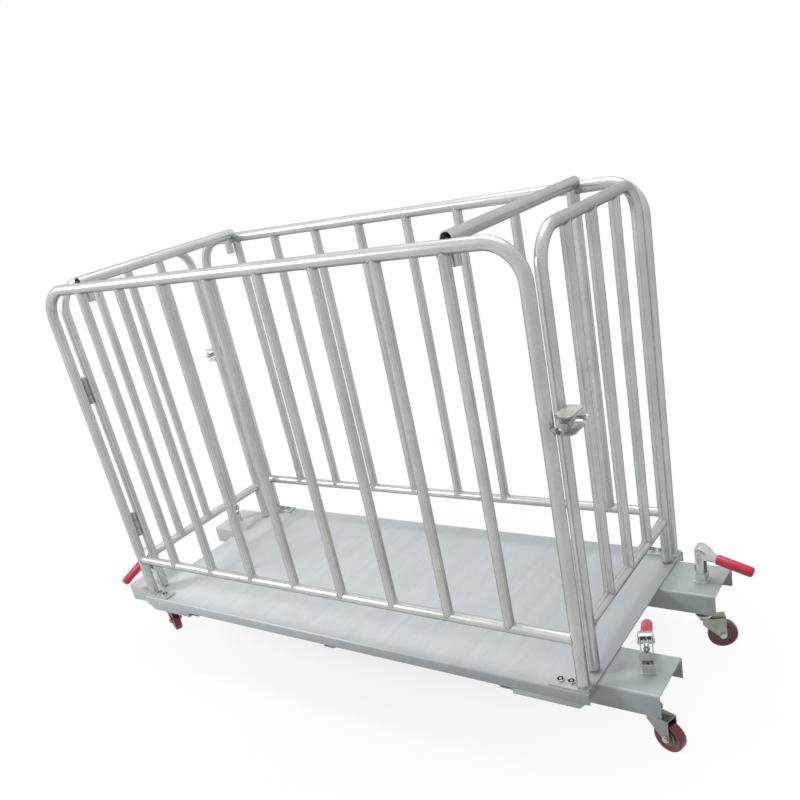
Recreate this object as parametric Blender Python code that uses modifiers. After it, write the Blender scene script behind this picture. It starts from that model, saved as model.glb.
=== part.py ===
"""Livestock scale: a tubular cage with a swinging gate at each end, on a low weighing deck.

Under each deck corner a load cell with a levelling foot sits in a folded housing. Two channel
outriggers at each end carry push-pull clamps, which lower and raise the swivel castors.

Metres, +Z up. X runs along the deck, from gate to gate, and Y across it. The origin is on the
ground below the middle of the deck, with the castors down.
"""
import math

import bmesh
import bpy
from mathutils import Matrix, Vector

# Clearances between pieces that touch.
GAP = 0.0003
RUNNING_GAP = 0.0003

# Deck plate, folded down along both long sides.
DECK_LENGTH = 2.0
DECK_WIDTH = 0.86
DECK_TOP = 0.27
DECK_SHEET = 0.005
SKIRT_DEPTH = 0.04
FOLD_RADIUS = 0.008

# Box-section frame under the deck.
MEMBER_WIDTH = 0.05
MEMBER_WALL = 0.003
END_MEMBER_INSET = 0.28
LONG_MEMBER_INSET = 0.23
LONG_MEMBER_DROP = 0.0005

# Channel outriggers that carry the castors.
OUTRIGGER_PROUD = 0.185
OUTRIGGER_WIDTH = 0.2
OUTRIGGER_DEPTH = 0.075
OUTRIGGER_INSET = 0.16
OUTRIGGER_SHEET = 0.005
GUIDE_LENGTH = 0.055
GUIDE_WALL = 0.005

# Side panels. Heights are above the deck, and insets are from the deck's edges.
POST_INSET = 0.027
PANEL_INSET = 0.03
TOP_RAIL_HEIGHT = 1.29
BOTTOM_RAIL_HEIGHT = 0.166
HOOP_DIAMETER = 0.038
RAIL_DIAMETER = 0.034
BAR_DIAMETER = 0.033
TUBE_WALL = 0.0026
PANEL_BEND = 0.11
PANEL_BARS = 8
FOOT_PLATE_THICKNESS = 0.006
FOOT_PLATE_WIDTH = 0.05
FOOT_PLATE_OUTER = 0.025
FOOT_PLATE_INNER = 0.105
VENT_DIAMETER = 0.012

# Bolts that hold the panels down, at these distances inboard of each upright.
BOLT_DIAMETER = 0.012
BOLT_INSETS = (0.038, 0.073)
HEAD_ACROSS = 0.021
HEAD_HEIGHT = 0.0075
NUT_HEIGHT = 0.009

# Gates. Spaces are from the panel's plane to the gate's uprights.
GATE_HINGE_SPACE = 0.058
GATE_LATCH_SPACE = 0.083
GATE_FOOT_GAP = 0.01
GATE_BEND = 0.1
GATE_BARS = 3

# Gate hinges: two on each gate, on a vertical axis between the post and the gate.
HINGE_SPACE = 0.03
HINGE_HEIGHTS = (0.317, 0.898)
KNUCKLE_DIAMETER = 0.018
KNUCKLE_HEIGHT = 0.034
LUG_THICKNESS = 0.007
PIN_DIAMETER = 0.01
PIN_HEAD = 0.004

# Gate latch: a bolt that slides in a sleeve between two plates on the gate.
LATCH_HEIGHT = 0.816
LATCH_STANDOFF = 0.041
LATCH_SPAN = 0.052
LATCH_PLATE = 0.005
LATCH_PLATE_PROUD = 0.023
LATCH_END_SPACE = 0.01
LATCH_BOLT_DIAMETER = 0.016
LATCH_SLEEVE_WALL = 0.004
LATCH_SLEEVE_LENGTH = 0.03
LATCH_HANDLE_REACH = 0.036
LATCH_HANDLE_DIAMETER = 0.01
LATCH_KNOB_DIAMETER = 0.018
KEEPER_LENGTH = 0.018
KEEPER_CLEARANCE = 0.012

# Cross tubes over the panels.
CROSS_TUBE_INSET = 0.208
CROSS_TUBE_RISE = 0.018
CROSS_TUBE_SHORT = 0.01
STUB_DIAMETER = 0.03
STUB_SPACE = 0.04
STUB_LENGTH = 0.055

# Load cells, their housings and the levelling feet.
HOUSING_DEPTH = 0.06
HOUSING_CHAMFER = 0.034
HOUSING_SHEET = 0.004
CELL_LENGTH = 0.2
CELL_SIZE = 0.03
CELL_FLOOR_GAP = 0.0025
CELL_PACKER_LENGTH = 0.05
FOOT_END_INSET = 0.07
FOOT_SIDE_INSET = 0.032
FOOT_STEM_DIAMETER = 0.016
FOOT_PAD_DIAMETER = 0.034
FOOT_PAD_HEIGHT = 0.01
FOOT_DROP = 0.007

# Push-pull clamps. The crank hangs straight down and the handle slopes down.
CLAMP_PROUD = 0.118
CLAMP_OFFSET = 0.008
CLAMP_BASE_LENGTH = 0.042
CLAMP_BASE_WIDTH = 0.036
CLAMP_BASE_THICKNESS = 0.005
CLAMP_CHEEK_WIDTH = 0.027
CLAMP_CHEEK_THICKNESS = 0.003
CLAMP_CHEEK_RISE = 0.026
PIVOT_HEIGHT = 0.1
PIVOT_DIAMETER = 0.011
CRANK = 0.028
LINK = 0.048
CRANK_PIN_DIAMETER = 0.008
CRANK_PLATE = 0.004
LINK_THICKNESS = 0.006
EYE_RADIUS = 0.0075
HANDLE_SLOPE = math.radians(17.5)
HANDLE_DIAMETER = 0.014
HANDLE_ROOT = 0.028
LEVER_HUB_RADIUS = 0.014
LEVER_TIP_RADIUS = 0.0105
LEVER_TIP_SPACE = 0.002
CRANK_EYE_WALL = 0.005
GRIP_START = 0.054
GRIP_LENGTH = 0.122
GRIP_END_WALL = 0.011
GRIP_DIAMETER = 0.03

# Castors, on stems that the clamps push down.
STEM_DIAMETER = 0.024
STEM_SLOT_DEPTH = 0.017
STEM_FLANGE_DIAMETER = 0.06
STEM_FLANGE_THICKNESS = 0.006
RACE_DIAMETER = 0.044
RACE_HEIGHT = 0.01
CROWN_THICKNESS = 0.004
KINGPIN_DIAMETER = 0.011
WHEEL_DIAMETER = 0.1
WHEEL_WIDTH = 0.032
WHEEL_CLEARANCE = 0.016
TRAIL = 0.055
FORK_GAP = 0.0025
FORK_SHEET = 0.003
FORK_EDGE = 0.012
FORK_EDGE_RISE = 0.032
FORK_BACK = 0.018
FORK_BACK_DROP = 0.022
FORK_CORNER = 0.008
FORK_BOSS_RADIUS = 0.013
AXLE_DIAMETER = 0.011

# Directions, seen from above, of each clamp's handle and of each castor's trail.
CORNERS = {
    "near_right": {"x": 1, "y": -1, "handle": 110, "trail": -18},
    "far_right": {"x": 1, "y": 1, "handle": 0, "trail": 24},
    "near_left": {"x": -1, "y": -1, "handle": -90, "trail": -27},
    "far_left": {"x": -1, "y": 1, "handle": 313, "trail": 12},
}

TUBE_SIDES = 10
BORE_SIDES = 8
BEND_STEPS = 5
WHEEL_STEPS = 20
PIN_SIDES = 8
GRIP_STEPS = 10

# Worked out from the sizes above.
UNDERSIDE = DECK_TOP - DECK_SHEET
SEAT_Z = UNDERSIDE - GAP
INSIDE_Y = DECK_WIDTH / 2 - FOLD_RADIUS - GAP
FOOT_PLATE_TOP = DECK_TOP + GAP + FOOT_PLATE_THICKNESS
HOOP_RADIUS = HOOP_DIAMETER / 2
RAIL_RADIUS = RAIL_DIAMETER / 2
BAR_RADIUS = BAR_DIAMETER / 2
END_MEMBER_X = DECK_LENGTH / 2 - END_MEMBER_INSET
LONG_MEMBER_Y = DECK_WIDTH / 2 - LONG_MEMBER_INSET
OUTRIGGER_REACH = DECK_LENGTH / 2 + OUTRIGGER_PROUD
OUTRIGGER_Y = DECK_WIDTH / 2 - OUTRIGGER_INSET
PANEL_HALF_LENGTH = DECK_LENGTH / 2 - POST_INSET
PANEL_Y = DECK_WIDTH / 2 - PANEL_INSET
TOP_RAIL_Z = DECK_TOP + TOP_RAIL_HEIGHT
BOTTOM_RAIL_Z = DECK_TOP + BOTTOM_RAIL_HEIGHT
GATE_HINGE_Y = PANEL_Y - GATE_HINGE_SPACE
GATE_LATCH_Y = GATE_LATCH_SPACE - PANEL_Y
GATE_FOOT_Z = DECK_TOP + GATE_FOOT_GAP
HINGE_Y = PANEL_Y - HINGE_SPACE
LATCH_X = PANEL_HALF_LENGTH + LATCH_STANDOFF
LATCH_OUTER_X = LATCH_X + LATCH_PLATE_PROUD
LATCH_END_Y = LATCH_END_SPACE - PANEL_Y
LATCH_START_Y = GATE_LATCH_Y + RAIL_RADIUS
LATCH_Z = DECK_TOP + LATCH_HEIGHT
CROSS_TUBE_X = PANEL_HALF_LENGTH - CROSS_TUBE_INSET
CROSS_TUBE_HALF = PANEL_Y - CROSS_TUBE_SHORT
STUB_Y = PANEL_Y - STUB_SPACE
HOUSING_INNER_X = END_MEMBER_X + MEMBER_WIDTH / 2
HOUSING_OUTER_X = DECK_LENGTH / 2 - GAP
HOUSING_BOTTOM = DECK_TOP - HOUSING_DEPTH
FOOT_X = DECK_LENGTH / 2 - FOOT_END_INSET
FOOT_Y = DECK_WIDTH / 2 - FOOT_SIDE_INSET
CLAMP_X = DECK_LENGTH / 2 + CLAMP_PROUD
CLAMP_Y = OUTRIGGER_Y - CLAMP_OFFSET
PIVOT_Z = DECK_TOP + PIVOT_HEIGHT
CLAMP_TOP = PIVOT_Z + CLAMP_CHEEK_RISE
HANDLE_LENGTH = GRIP_START + GRIP_LENGTH - GRIP_END_WALL
CLAMP_BASE_Z = SEAT_Z + GAP
CLAMP_BASE_TOP = CLAMP_BASE_Z + CLAMP_BASE_THICKNESS
STEM_RADIUS = STEM_DIAMETER / 2
STEM_JOINT_Z = PIVOT_Z - CRANK - LINK
WHEEL_RADIUS = WHEEL_DIAMETER / 2
CROWN_TOP = WHEEL_DIAMETER + WHEEL_CLEARANCE + CROWN_THICKNESS
FORK_REACH = TRAIL + FORK_EDGE
FORK_EDGE_Z = WHEEL_RADIUS + FORK_EDGE_RISE
HALF_TURN = Matrix.Rotation(math.pi, 4, "Z")


def bore_radius(radius, sides=TUBE_SIDES, gap=RUNNING_GAP):
    """The corner radius of a faceted bore whose flats clear a shaft of this radius."""
    return (radius + gap) / math.cos(math.pi / sides)


def clear_scene():
    for obj in list(bpy.data.objects):
        bpy.data.objects.remove(obj, do_unlink=True)


def make_collection(name):
    collection = bpy.data.collections.new(name)
    bpy.context.scene.collection.children.link(collection)
    return collection


def make_material(name, colour, roughness, metallic):
    material = bpy.data.materials.new(name)
    material.use_nodes = True
    shader = material.node_tree.nodes["Principled BSDF"]
    shader.inputs["Base Color"].default_value = (*colour, 1.0)
    shader.inputs["Roughness"].default_value = roughness
    shader.inputs["Metallic"].default_value = metallic
    return material


def add_block(bm, low, high):
    low = Vector(low)
    high = Vector(high)
    size = high - low
    place = Matrix.Translation((low + high) / 2) @ Matrix.Diagonal((*size, 1.0))
    bmesh.ops.create_cube(bm, size=1.0, matrix=place)


def add_rod(bm, radius, start, end, sides=TUBE_SIDES):
    start = Vector(start)
    end = Vector(end)
    direction = end - start
    turn = direction.to_track_quat("Z", "Y").to_matrix().to_4x4()
    place = Matrix.Translation((start + end) / 2) @ turn
    bmesh.ops.create_cone(bm, cap_ends=True, segments=sides, radius1=radius, radius2=radius,
                          depth=direction.length, matrix=place)


def mesh_object(name, build):
    """A new object whose mesh is filled by build(bm)."""
    bm = bmesh.new()
    build(bm)
    bmesh.ops.recalc_face_normals(bm, faces=bm.faces)
    mesh = bpy.data.meshes.new(name)
    bm.to_mesh(mesh)
    bm.free()
    obj = bpy.data.objects.new(name, mesh)
    WORKSHOP.objects.link(obj)
    return obj


def rods(name, specs, sides=TUBE_SIDES):
    """One object of straight rods, each given as (radius, start, end)."""
    def build(bm):
        for radius, start, end in specs:
            add_rod(bm, radius, start, end, sides)
    return mesh_object(name, build)


def blocks(name, specs):
    """One object of boxes, each given as (low corner, high corner)."""
    def build(bm):
        for low, high in specs:
            add_block(bm, low, high)
    return mesh_object(name, build)


def as_mesh(obj):
    """Turns an object with its modifiers into a plain closed mesh object of the same name."""
    graph = bpy.context.evaluated_depsgraph_get()
    mesh = bpy.data.meshes.new_from_object(obj.evaluated_get(graph))
    mesh.transform(obj.matrix_world)
    bm = bmesh.new()
    bm.from_mesh(mesh)
    bmesh.ops.remove_doubles(bm, verts=bm.verts, dist=1e-6)
    bmesh.ops.dissolve_degenerate(bm, edges=bm.edges, dist=1e-6)
    bmesh.ops.recalc_face_normals(bm, faces=bm.faces)
    bm.to_mesh(mesh)
    bm.free()
    name = obj.name
    bpy.data.objects.remove(obj, do_unlink=True)
    mesh.name = name
    result = bpy.data.objects.new(name, mesh)
    WORKSHOP.objects.link(result)
    bpy.context.view_layer.update()
    return result


def bent_tube(name, points, radius, sides=TUBE_SIDES):
    """A solid round bar along a path of points."""
    curve = bpy.data.curves.new(name, "CURVE")
    curve.dimensions = "3D"
    curve.bevel_depth = radius
    curve.bevel_resolution = (sides - 4) // 2
    curve.use_fill_caps = True
    spline = curve.splines.new("POLY")
    spline.points.add(len(points) - 1)
    for point, place in zip(spline.points, points):
        point.co = (*place, 1.0)
    obj = bpy.data.objects.new(name, curve)
    WORKSHOP.objects.link(obj)
    bpy.context.view_layer.update()
    return as_mesh(obj)


def flat_plate(name, outlines, thickness, place=Matrix.Identity(4)):
    """A plate in its own XY plane. The first outline is its edge and the others are holes."""
    curve = bpy.data.curves.new(name, "CURVE")
    curve.dimensions = "2D"
    curve.fill_mode = "BOTH"
    curve.extrude = thickness / 2
    for outline in outlines:
        spline = curve.splines.new("POLY")
        spline.points.add(len(outline) - 1)
        for point, (x, y) in zip(spline.points, outline):
            point.co = (x, y, 0.0, 1.0)
        spline.use_cyclic_u = True
    obj = bpy.data.objects.new(name, curve)
    WORKSHOP.objects.link(obj)
    obj.matrix_world = place
    bpy.context.view_layer.update()
    return as_mesh(obj)


def turned(name, profile, steps, place=Matrix.Identity(4)):
    """A piece turned about its own Z axis. The profile is (radius, height), from top to bottom."""
    def build(bm):
        verts = [bm.verts.new((radius, 0.0, height)) for radius, height in profile]
        for first, second in zip(verts, verts[1:]):
            bm.edges.new((first, second))
        if profile[0][0] > 0 and profile[-1][0] > 0:
            bm.edges.new((verts[-1], verts[0]))
    obj = mesh_object(name, build)
    screw = obj.modifiers.new("Screw", "SCREW")
    screw.steps = steps
    screw.render_steps = steps
    screw.use_merge_vertices = True
    screw.merge_threshold = 0.00001
    obj.matrix_world = place
    bpy.context.view_layer.update()
    return as_mesh(obj)


def folded_sheet(name, profile, start_x, end_x, thickness):
    """A sheet folded along X. The profile is the (y, z) of its outer face."""
    def build(bm):
        rows = [[bm.verts.new((x, y, z)) for y, z in profile] for x in (start_x, end_x)]
        for index in range(len(profile) - 1):
            bm.faces.new((rows[0][index], rows[0][index + 1], rows[1][index + 1], rows[1][index]))
    obj = mesh_object(name, build)
    for face in obj.data.polygons:
        if face.normal.z > 0.99:
            outward = 1.0
        elif face.normal.z < -0.99:
            outward = -1.0
    solidify = obj.modifiers.new("Solidify", "SOLIDIFY")
    solidify.thickness = thickness
    solidify.offset = -outward
    solidify.use_even_offset = True
    bpy.context.view_layer.update()
    return as_mesh(obj)


def combine(base, others, operation):
    """Joins others to base, or cuts them from it, and returns the plain result."""
    for other in others:
        modifier = base.modifiers.new(operation.title(), "BOOLEAN")
        modifier.operation = operation
        modifier.solver = "EXACT"
        modifier.object = other
        other.hide_render = True
        other.display_type = "WIRE"
    bpy.context.view_layer.update()
    result = as_mesh(base)
    for other in others:
        bpy.data.objects.remove(other, do_unlink=True)
    return result


def join(base, *others):
    return combine(base, others, "UNION")


def cut(base, *others):
    return combine(base, others, "DIFFERENCE")


def finish(obj, material, name=None, origin=(0.0, 0.0, 0.0)):
    """Gives a finished piece its name, finish and origin, and puts it in the model."""
    if name:
        obj.name = name
        obj.data.name = name
    obj.data.transform(Matrix.Translation(-Vector(origin)))
    obj.location = origin
    obj.data.materials.clear()
    obj.data.materials.append(material)
    obj.data.shade_smooth()
    obj.data.set_sharp_from_angle(angle=math.radians(35))
    WORKSHOP.objects.unlink(obj)
    MODEL.objects.link(obj)
    return obj


def repeat(obj, name, place):
    """Another piece with the same mesh, moved by place."""
    copy = bpy.data.objects.new(name, obj.data)
    copy.matrix_world = place @ obj.matrix_world
    MODEL.objects.link(copy)
    return copy


def arc(centre, radius, start, end, steps):
    """Points on an arc, with its angles in degrees."""
    points = []
    for index in range(steps + 1):
        angle = math.radians(start + (end - start) * index / steps)
        points.append((centre[0] + radius * math.cos(angle), centre[1] + radius * math.sin(angle)))
    return points


def circle(centre, radius, steps):
    return arc(centre, radius, 0, 360, steps)[:-1]


def rectangle(low, high):
    return [low, (high[0], low[1]), high, (low[0], high[1])]


def channel_profile(half_width, depth, top, radius, centre_y=0.0):
    """The outer face of a channel that opens downwards."""
    left = arc((-half_width + radius, top - radius), radius, 180, 90, 3)
    right = arc((half_width - radius, top - radius), radius, 90, 0, 3)
    outline = [(-half_width, top - depth)] + left + right + [(half_width, top - depth)]
    return [(centre_y + y, z) for y, z in outline]


def hoop_path(start, end, foot, top, radius):
    """A goalpost outline: up from start, round two bends and down at end."""
    left = arc((start + radius, top - radius), radius, 180, 90, BEND_STEPS)
    right = arc((end - radius, top - radius), radius, 90, 0, BEND_STEPS)
    return [(start, foot)] + left + right + [(end, foot)]


def bar_places(start, end, count):
    """Even places between two uprights."""
    return [start + (end - start) * (index + 1) / (count + 1) for index in range(count)]


def bolt_places():
    """Where the panels' bolts go through the deck."""
    places = []
    for side_x in (-1, 1):
        for side_y in (-1, 1):
            for inset in BOLT_INSETS:
                places.append((side_x * (PANEL_HALF_LENGTH - inset), side_y * PANEL_Y))
    return places


def make_deck_plate():
    profile = channel_profile(DECK_WIDTH / 2, SKIRT_DEPTH, DECK_TOP, FOLD_RADIUS)
    deck = folded_sheet("deck_plate", profile, -DECK_LENGTH / 2, DECK_LENGTH / 2, DECK_SHEET)
    radius = bore_radius(BOLT_DIAMETER / 2, 8)
    holes = [(radius, (x, y, UNDERSIDE - 0.01), (x, y, DECK_TOP + 0.01)) for x, y in bolt_places()]
    deck = cut(deck, rods("bolt_holes", holes, 8))
    return finish(deck, PAINT)


def box_member(start, end, width, wall, top):
    """The outer box and the inner box, open at both ends, of a member along X or Y."""
    along_x = abs(end[0] - start[0]) > abs(end[1] - start[1])
    half = Vector((0.0, width / 2, 0.0)) if along_x else Vector((width / 2, 0.0, 0.0))
    inner = half * (1 - 2 * wall / width)
    past = Vector((0.01, 0.0, 0.0)) if along_x else Vector((0.0, 0.01, 0.0))
    low = Vector((*start, top - width))
    high = Vector((*end, top))
    lift = Vector((0.0, 0.0, wall))
    return (low - half, high + half), (low - inner - past + lift, high + inner + past - lift)


def make_underframe():
    bite = MEMBER_WIDTH / 2 - MEMBER_WALL / 2
    pieces = []
    for x in (-END_MEMBER_X, 0.0, END_MEMBER_X):
        pieces.append(box_member((x, -INSIDE_Y), (x, INSIDE_Y), MEMBER_WIDTH, MEMBER_WALL, SEAT_Z))
    for y in (-LONG_MEMBER_Y, LONG_MEMBER_Y):
        for side in (-1, 1):
            ends = sorted((side * bite, side * (END_MEMBER_X - bite)))
            pieces.append(box_member((ends[0], y), (ends[1], y), MEMBER_WIDTH, MEMBER_WALL,
                                     SEAT_Z - LONG_MEMBER_DROP))
    outers = [blocks("member", [outer]) for outer, inner in pieces]
    frame = join(outers[0], *outers[1:])
    frame = cut(frame, *[blocks("member_bore", [inner]) for outer, inner in pieces])
    return finish(frame, GALVANISED, "deck_underframe")


def make_outriggers():
    inner_x = END_MEMBER_X + MEMBER_WIDTH / 2 + GAP
    profile = channel_profile(OUTRIGGER_WIDTH / 2, OUTRIGGER_DEPTH, SEAT_Z, FOLD_RADIUS, OUTRIGGER_Y)
    channel = folded_sheet("outrigger", profile, inner_x, OUTRIGGER_REACH, OUTRIGGER_SHEET)
    bore = bore_radius(STEM_RADIUS)
    guide_radius = bore + GUIDE_WALL
    web = SEAT_Z - OUTRIGGER_SHEET
    guide = rods("guide", [(guide_radius, (CLAMP_X, CLAMP_Y, web - GUIDE_LENGTH),
                            (CLAMP_X, CLAMP_Y, web + OUTRIGGER_SHEET / 2))])
    channel = join(channel, guide)
    stem_bore = rods("stem_bore", [(bore, (CLAMP_X, CLAMP_Y, web - GUIDE_LENGTH - 0.01),
                                    (CLAMP_X, CLAMP_Y, SEAT_Z + 0.01))])
    channel = cut(channel, stem_bore)
    set_at_corners(channel, "outrigger", GALVANISED)


def set_at_corners(far_right, name, material):
    """A piece made at the far right corner, mirrored across the deck and turned to the other end."""
    far_right = finish(far_right, material, name + "_far_right")
    mirrored = far_right.data.copy()
    mirrored.transform(Matrix.Scale(-1, 4, (0, 1, 0)))
    mirrored.flip_normals()
    near_right = bpy.data.objects.new(name + "_near_right", mirrored)
    MODEL.objects.link(near_right)
    repeat(far_right, name + "_near_left", HALF_TURN)
    repeat(near_right, name + "_far_left", HALF_TURN)


def housing_outline(inset):
    """The side of a housing: square at its inner end and chamfered at its outer end."""
    bottom = HOUSING_BOTTOM + inset
    slope_in = inset * (math.sqrt(2) - 1)
    top = SEAT_Z + (0.01 if inset else 0.0)
    return [
        (HOUSING_INNER_X + GAP + inset, top),
        (HOUSING_INNER_X + GAP + inset, bottom),
        (HOUSING_OUTER_X - HOUSING_CHAMFER - slope_in, bottom),
        (HOUSING_OUTER_X - inset, HOUSING_BOTTOM + HOUSING_CHAMFER + slope_in),
        (HOUSING_OUTER_X - inset, top),
    ]


def upright_plate(name, outline, low_y, high_y, holes=()):
    """A plate whose outline is in the XZ plane, between two values of Y."""
    turn = Matrix.Rotation(math.radians(90), 4, "X")
    place = Matrix.Translation((0.0, (low_y + high_y) / 2, 0.0)) @ turn
    return flat_plate(name, [outline, *holes], high_y - low_y, place)


def make_housing():
    inner_y = OUTRIGGER_Y + OUTRIGGER_WIDTH / 2 + GAP
    outer_y = DECK_WIDTH / 2
    skirt_bottom = DECK_TOP - SKIRT_DEPTH - GAP
    tray = upright_plate("housing", housing_outline(0.0), inner_y, outer_y)
    cavity = upright_plate("cavity", housing_outline(HOUSING_SHEET), inner_y + HOUSING_SHEET,
                           INSIDE_Y - HOUSING_SHEET)
    skirt = blocks("skirt_room", [((HOUSING_INNER_X - 0.01, INSIDE_Y, skirt_bottom),
                                   (HOUSING_OUTER_X + 0.01, outer_y + 0.01, DECK_TOP))])
    hole = rods("foot_hole", [(FOOT_PAD_DIAMETER / 2 + 0.001, (FOOT_X, FOOT_Y, HOUSING_BOTTOM - 0.01),
                               (FOOT_X, FOOT_Y, HOUSING_BOTTOM + HOUSING_SHEET + 0.002))])
    return cut(tray, cavity, skirt, hole)


def make_load_cell():
    """A beam cell, open in the middle, with a packer to the deck at its inner end."""
    bottom = HOUSING_BOTTOM + HOUSING_SHEET + CELL_FLOOR_GAP
    top = bottom + CELL_SIZE
    inner_x = HOUSING_INNER_X + HOUSING_SHEET + 0.003
    half = CELL_SIZE / 2
    beam = blocks("cell", [((inner_x, FOOT_Y - half, bottom),
                            (inner_x + CELL_LENGTH, FOOT_Y + half, top))])
    packer = blocks("packer", [((inner_x, FOOT_Y - half + 0.002, top - 0.002),
                                (inner_x + CELL_PACKER_LENGTH, FOOT_Y + half - 0.002, SEAT_Z))])
    middle = (bottom + top) / 2
    window_x = inner_x + CELL_LENGTH * 0.5
    window = upright_plate("window", rectangle((window_x - 0.03, middle - 0.006),
                                               (window_x + 0.03, middle + 0.006)),
                           FOOT_Y - CELL_SIZE, FOOT_Y + CELL_SIZE)
    stem_hole = rods("stem_hole", [(bore_radius(FOOT_STEM_DIAMETER / 2), (FOOT_X, FOOT_Y, bottom - 0.01),
                                    (FOOT_X, FOOT_Y, top + 0.01))])
    return cut(join(beam, packer), window, stem_hole)


def make_levelling_feet():
    pad_bottom = HOUSING_BOTTOM - FOOT_DROP
    pad_top = pad_bottom + FOOT_PAD_HEIGHT
    stem_top = HOUSING_BOTTOM + HOUSING_SHEET + CELL_FLOOR_GAP + CELL_SIZE + 0.004
    stem = FOOT_STEM_DIAMETER / 2
    pad = FOOT_PAD_DIAMETER / 2
    profile = [(0.0, stem_top), (stem - 0.0015, stem_top), (stem, stem_top - 0.0015), (stem, pad_top),
               (pad - 0.002, pad_top), (pad, pad_top - 0.003), (pad, pad_bottom), (0.0, pad_bottom)]
    foot = turned("levelling_foot", profile, TUBE_SIDES)
    foot = finish(foot, ZINC, "levelling_foot_far_right")
    foot.location = (FOOT_X, FOOT_Y, 0.0)
    bpy.context.view_layer.update()
    for name, corner in CORNERS.items():
        if name != "far_right":
            copy = bpy.data.objects.new("levelling_foot_" + name, foot.data)
            copy.location = (corner["x"] * FOOT_X, corner["y"] * FOOT_Y, 0.0)
            MODEL.objects.link(copy)


def panel_hoop(name, radius, foot, sides=TUBE_SIDES):
    path = hoop_path(-PANEL_HALF_LENGTH, PANEL_HALF_LENGTH, foot, TOP_RAIL_Z, PANEL_BEND)
    return bent_tube(name, [(x, -PANEL_Y, z) for x, z in path], radius, sides)


def panel_rail(name, radius, half_length, sides=TUBE_SIDES):
    return rods(name, [(radius, (-half_length, -PANEL_Y, BOTTOM_RAIL_Z), (half_length, -PANEL_Y, BOTTOM_RAIL_Z))],
                sides)


def knuckle_spans(height):
    """The (bottom, top) of a hinge's lower, middle and upper knuckles."""
    half = KNUCKLE_HEIGHT / 2
    step = KNUCKLE_HEIGHT + GAP
    middle = DECK_TOP + height
    return [(middle + index * step - half, middle + index * step + half) for index in (-1, 0, 1)]


def knuckle(name, x, y, span, tube_y):
    """A barrel with a lug to the tube that carries it."""
    barrel = rods(name, [(KNUCKLE_DIAMETER / 2, (x, y, span[0]), (x, y, span[1]))])
    ends = sorted((y, tube_y))
    half = LUG_THICKNESS / 2
    lug = blocks("lug", [((x - half, ends[0], span[0] + 0.003), (x + half, ends[1], span[1] - 0.003))])
    return join(barrel, lug)


def upright_bars(places, radius, sides=TUBE_SIDES):
    """Upright bars between the rails, at these (x, y) places."""
    return rods("bars", [(radius, (x, y, BOTTOM_RAIL_Z), (x, y, TOP_RAIL_Z)) for x, y in places], sides)


def make_panel_bolts():
    """The bolts of one panel: heads on its foot plates, shanks through the deck and nuts under it."""
    across = HEAD_ACROSS / math.sqrt(3)
    shank_foot = SEAT_Z - NUT_HEIGHT - 0.003
    places = [(x, y) for x, y in bolt_places() if y < 0]

    def build(bm):
        for x, y in places:
            add_rod(bm, across, (x, y, FOOT_PLATE_TOP - 0.001), (x, y, FOOT_PLATE_TOP + HEAD_HEIGHT), 6)
            add_rod(bm, across, (x, y, SEAT_Z - NUT_HEIGHT), (x, y, SEAT_Z), 6)

    shanks = rods("shanks", [(BOLT_DIAMETER / 2, (x, y, shank_foot), (x, y, FOOT_PLATE_TOP)) for x, y in places], 8)
    return join(mesh_object("panel_bolts", build), shanks)


def make_foot_plate(side):
    ends = sorted((side * (PANEL_HALF_LENGTH + FOOT_PLATE_OUTER), side * (PANEL_HALF_LENGTH - FOOT_PLATE_INNER)))
    half = FOOT_PLATE_WIDTH / 2
    edge = rectangle((ends[0], -PANEL_Y - half), (ends[1], -PANEL_Y + half))
    vent = circle((side * PANEL_HALF_LENGTH, -PANEL_Y), VENT_DIAMETER / 2, BORE_SIDES)
    middle = FOOT_PLATE_TOP - FOOT_PLATE_THICKNESS / 2
    return flat_plate("foot_plate", [edge, vent], FOOT_PLATE_THICKNESS, Matrix.Translation((0.0, 0.0, middle)))


def make_post_hinges():
    """The post's half of a pair of hinges: outer knuckles on a pin that runs through the gate's."""
    x = -PANEL_HALF_LENGTH
    y = -HINGE_Y
    pieces = []
    for height in HINGE_HEIGHTS:
        spans = knuckle_spans(height)
        for span in (spans[0], spans[2]):
            pieces.append(knuckle("knuckle", x, y, span, -PANEL_Y + HOOP_RADIUS - 0.002))
        pieces.append(rods("hinge_pin", [(PIN_DIAMETER / 2, (x, y, spans[0][0] + 0.004),
                                          (x, y, spans[2][1] + PIN_HEAD))]))
        pieces.append(rods("pin_head", [(PIN_DIAMETER / 2 + 0.002, (x, y, spans[2][1] - 0.001),
                                         (x, y, spans[2][1] + PIN_HEAD / 2))]))
    return pieces


def make_keeper():
    """The eye on the post that the latch bolt slides into, with its arm."""
    radius = bore_radius(LATCH_BOLT_DIAMETER / 2, gap=3 * RUNNING_GAP)
    high = LATCH_END_Y - KEEPER_CLEARANCE
    low = high - KEEPER_LENGTH
    keeper = rods("keeper", [(radius + LATCH_SLEEVE_WALL, (LATCH_X, low, LATCH_Z), (LATCH_X, high, LATCH_Z))])
    arm = blocks("keeper_arm", [((PANEL_HALF_LENGTH, low + 0.003, LATCH_Z - 0.004),
                                 (LATCH_X, high - 0.003, LATCH_Z + 0.004))])
    bore = rods("keeper_bore", [(radius, (LATCH_X, low - 0.01, LATCH_Z), (LATCH_X, high + 0.01, LATCH_Z))])
    return cut(join(keeper, arm), bore)


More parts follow.
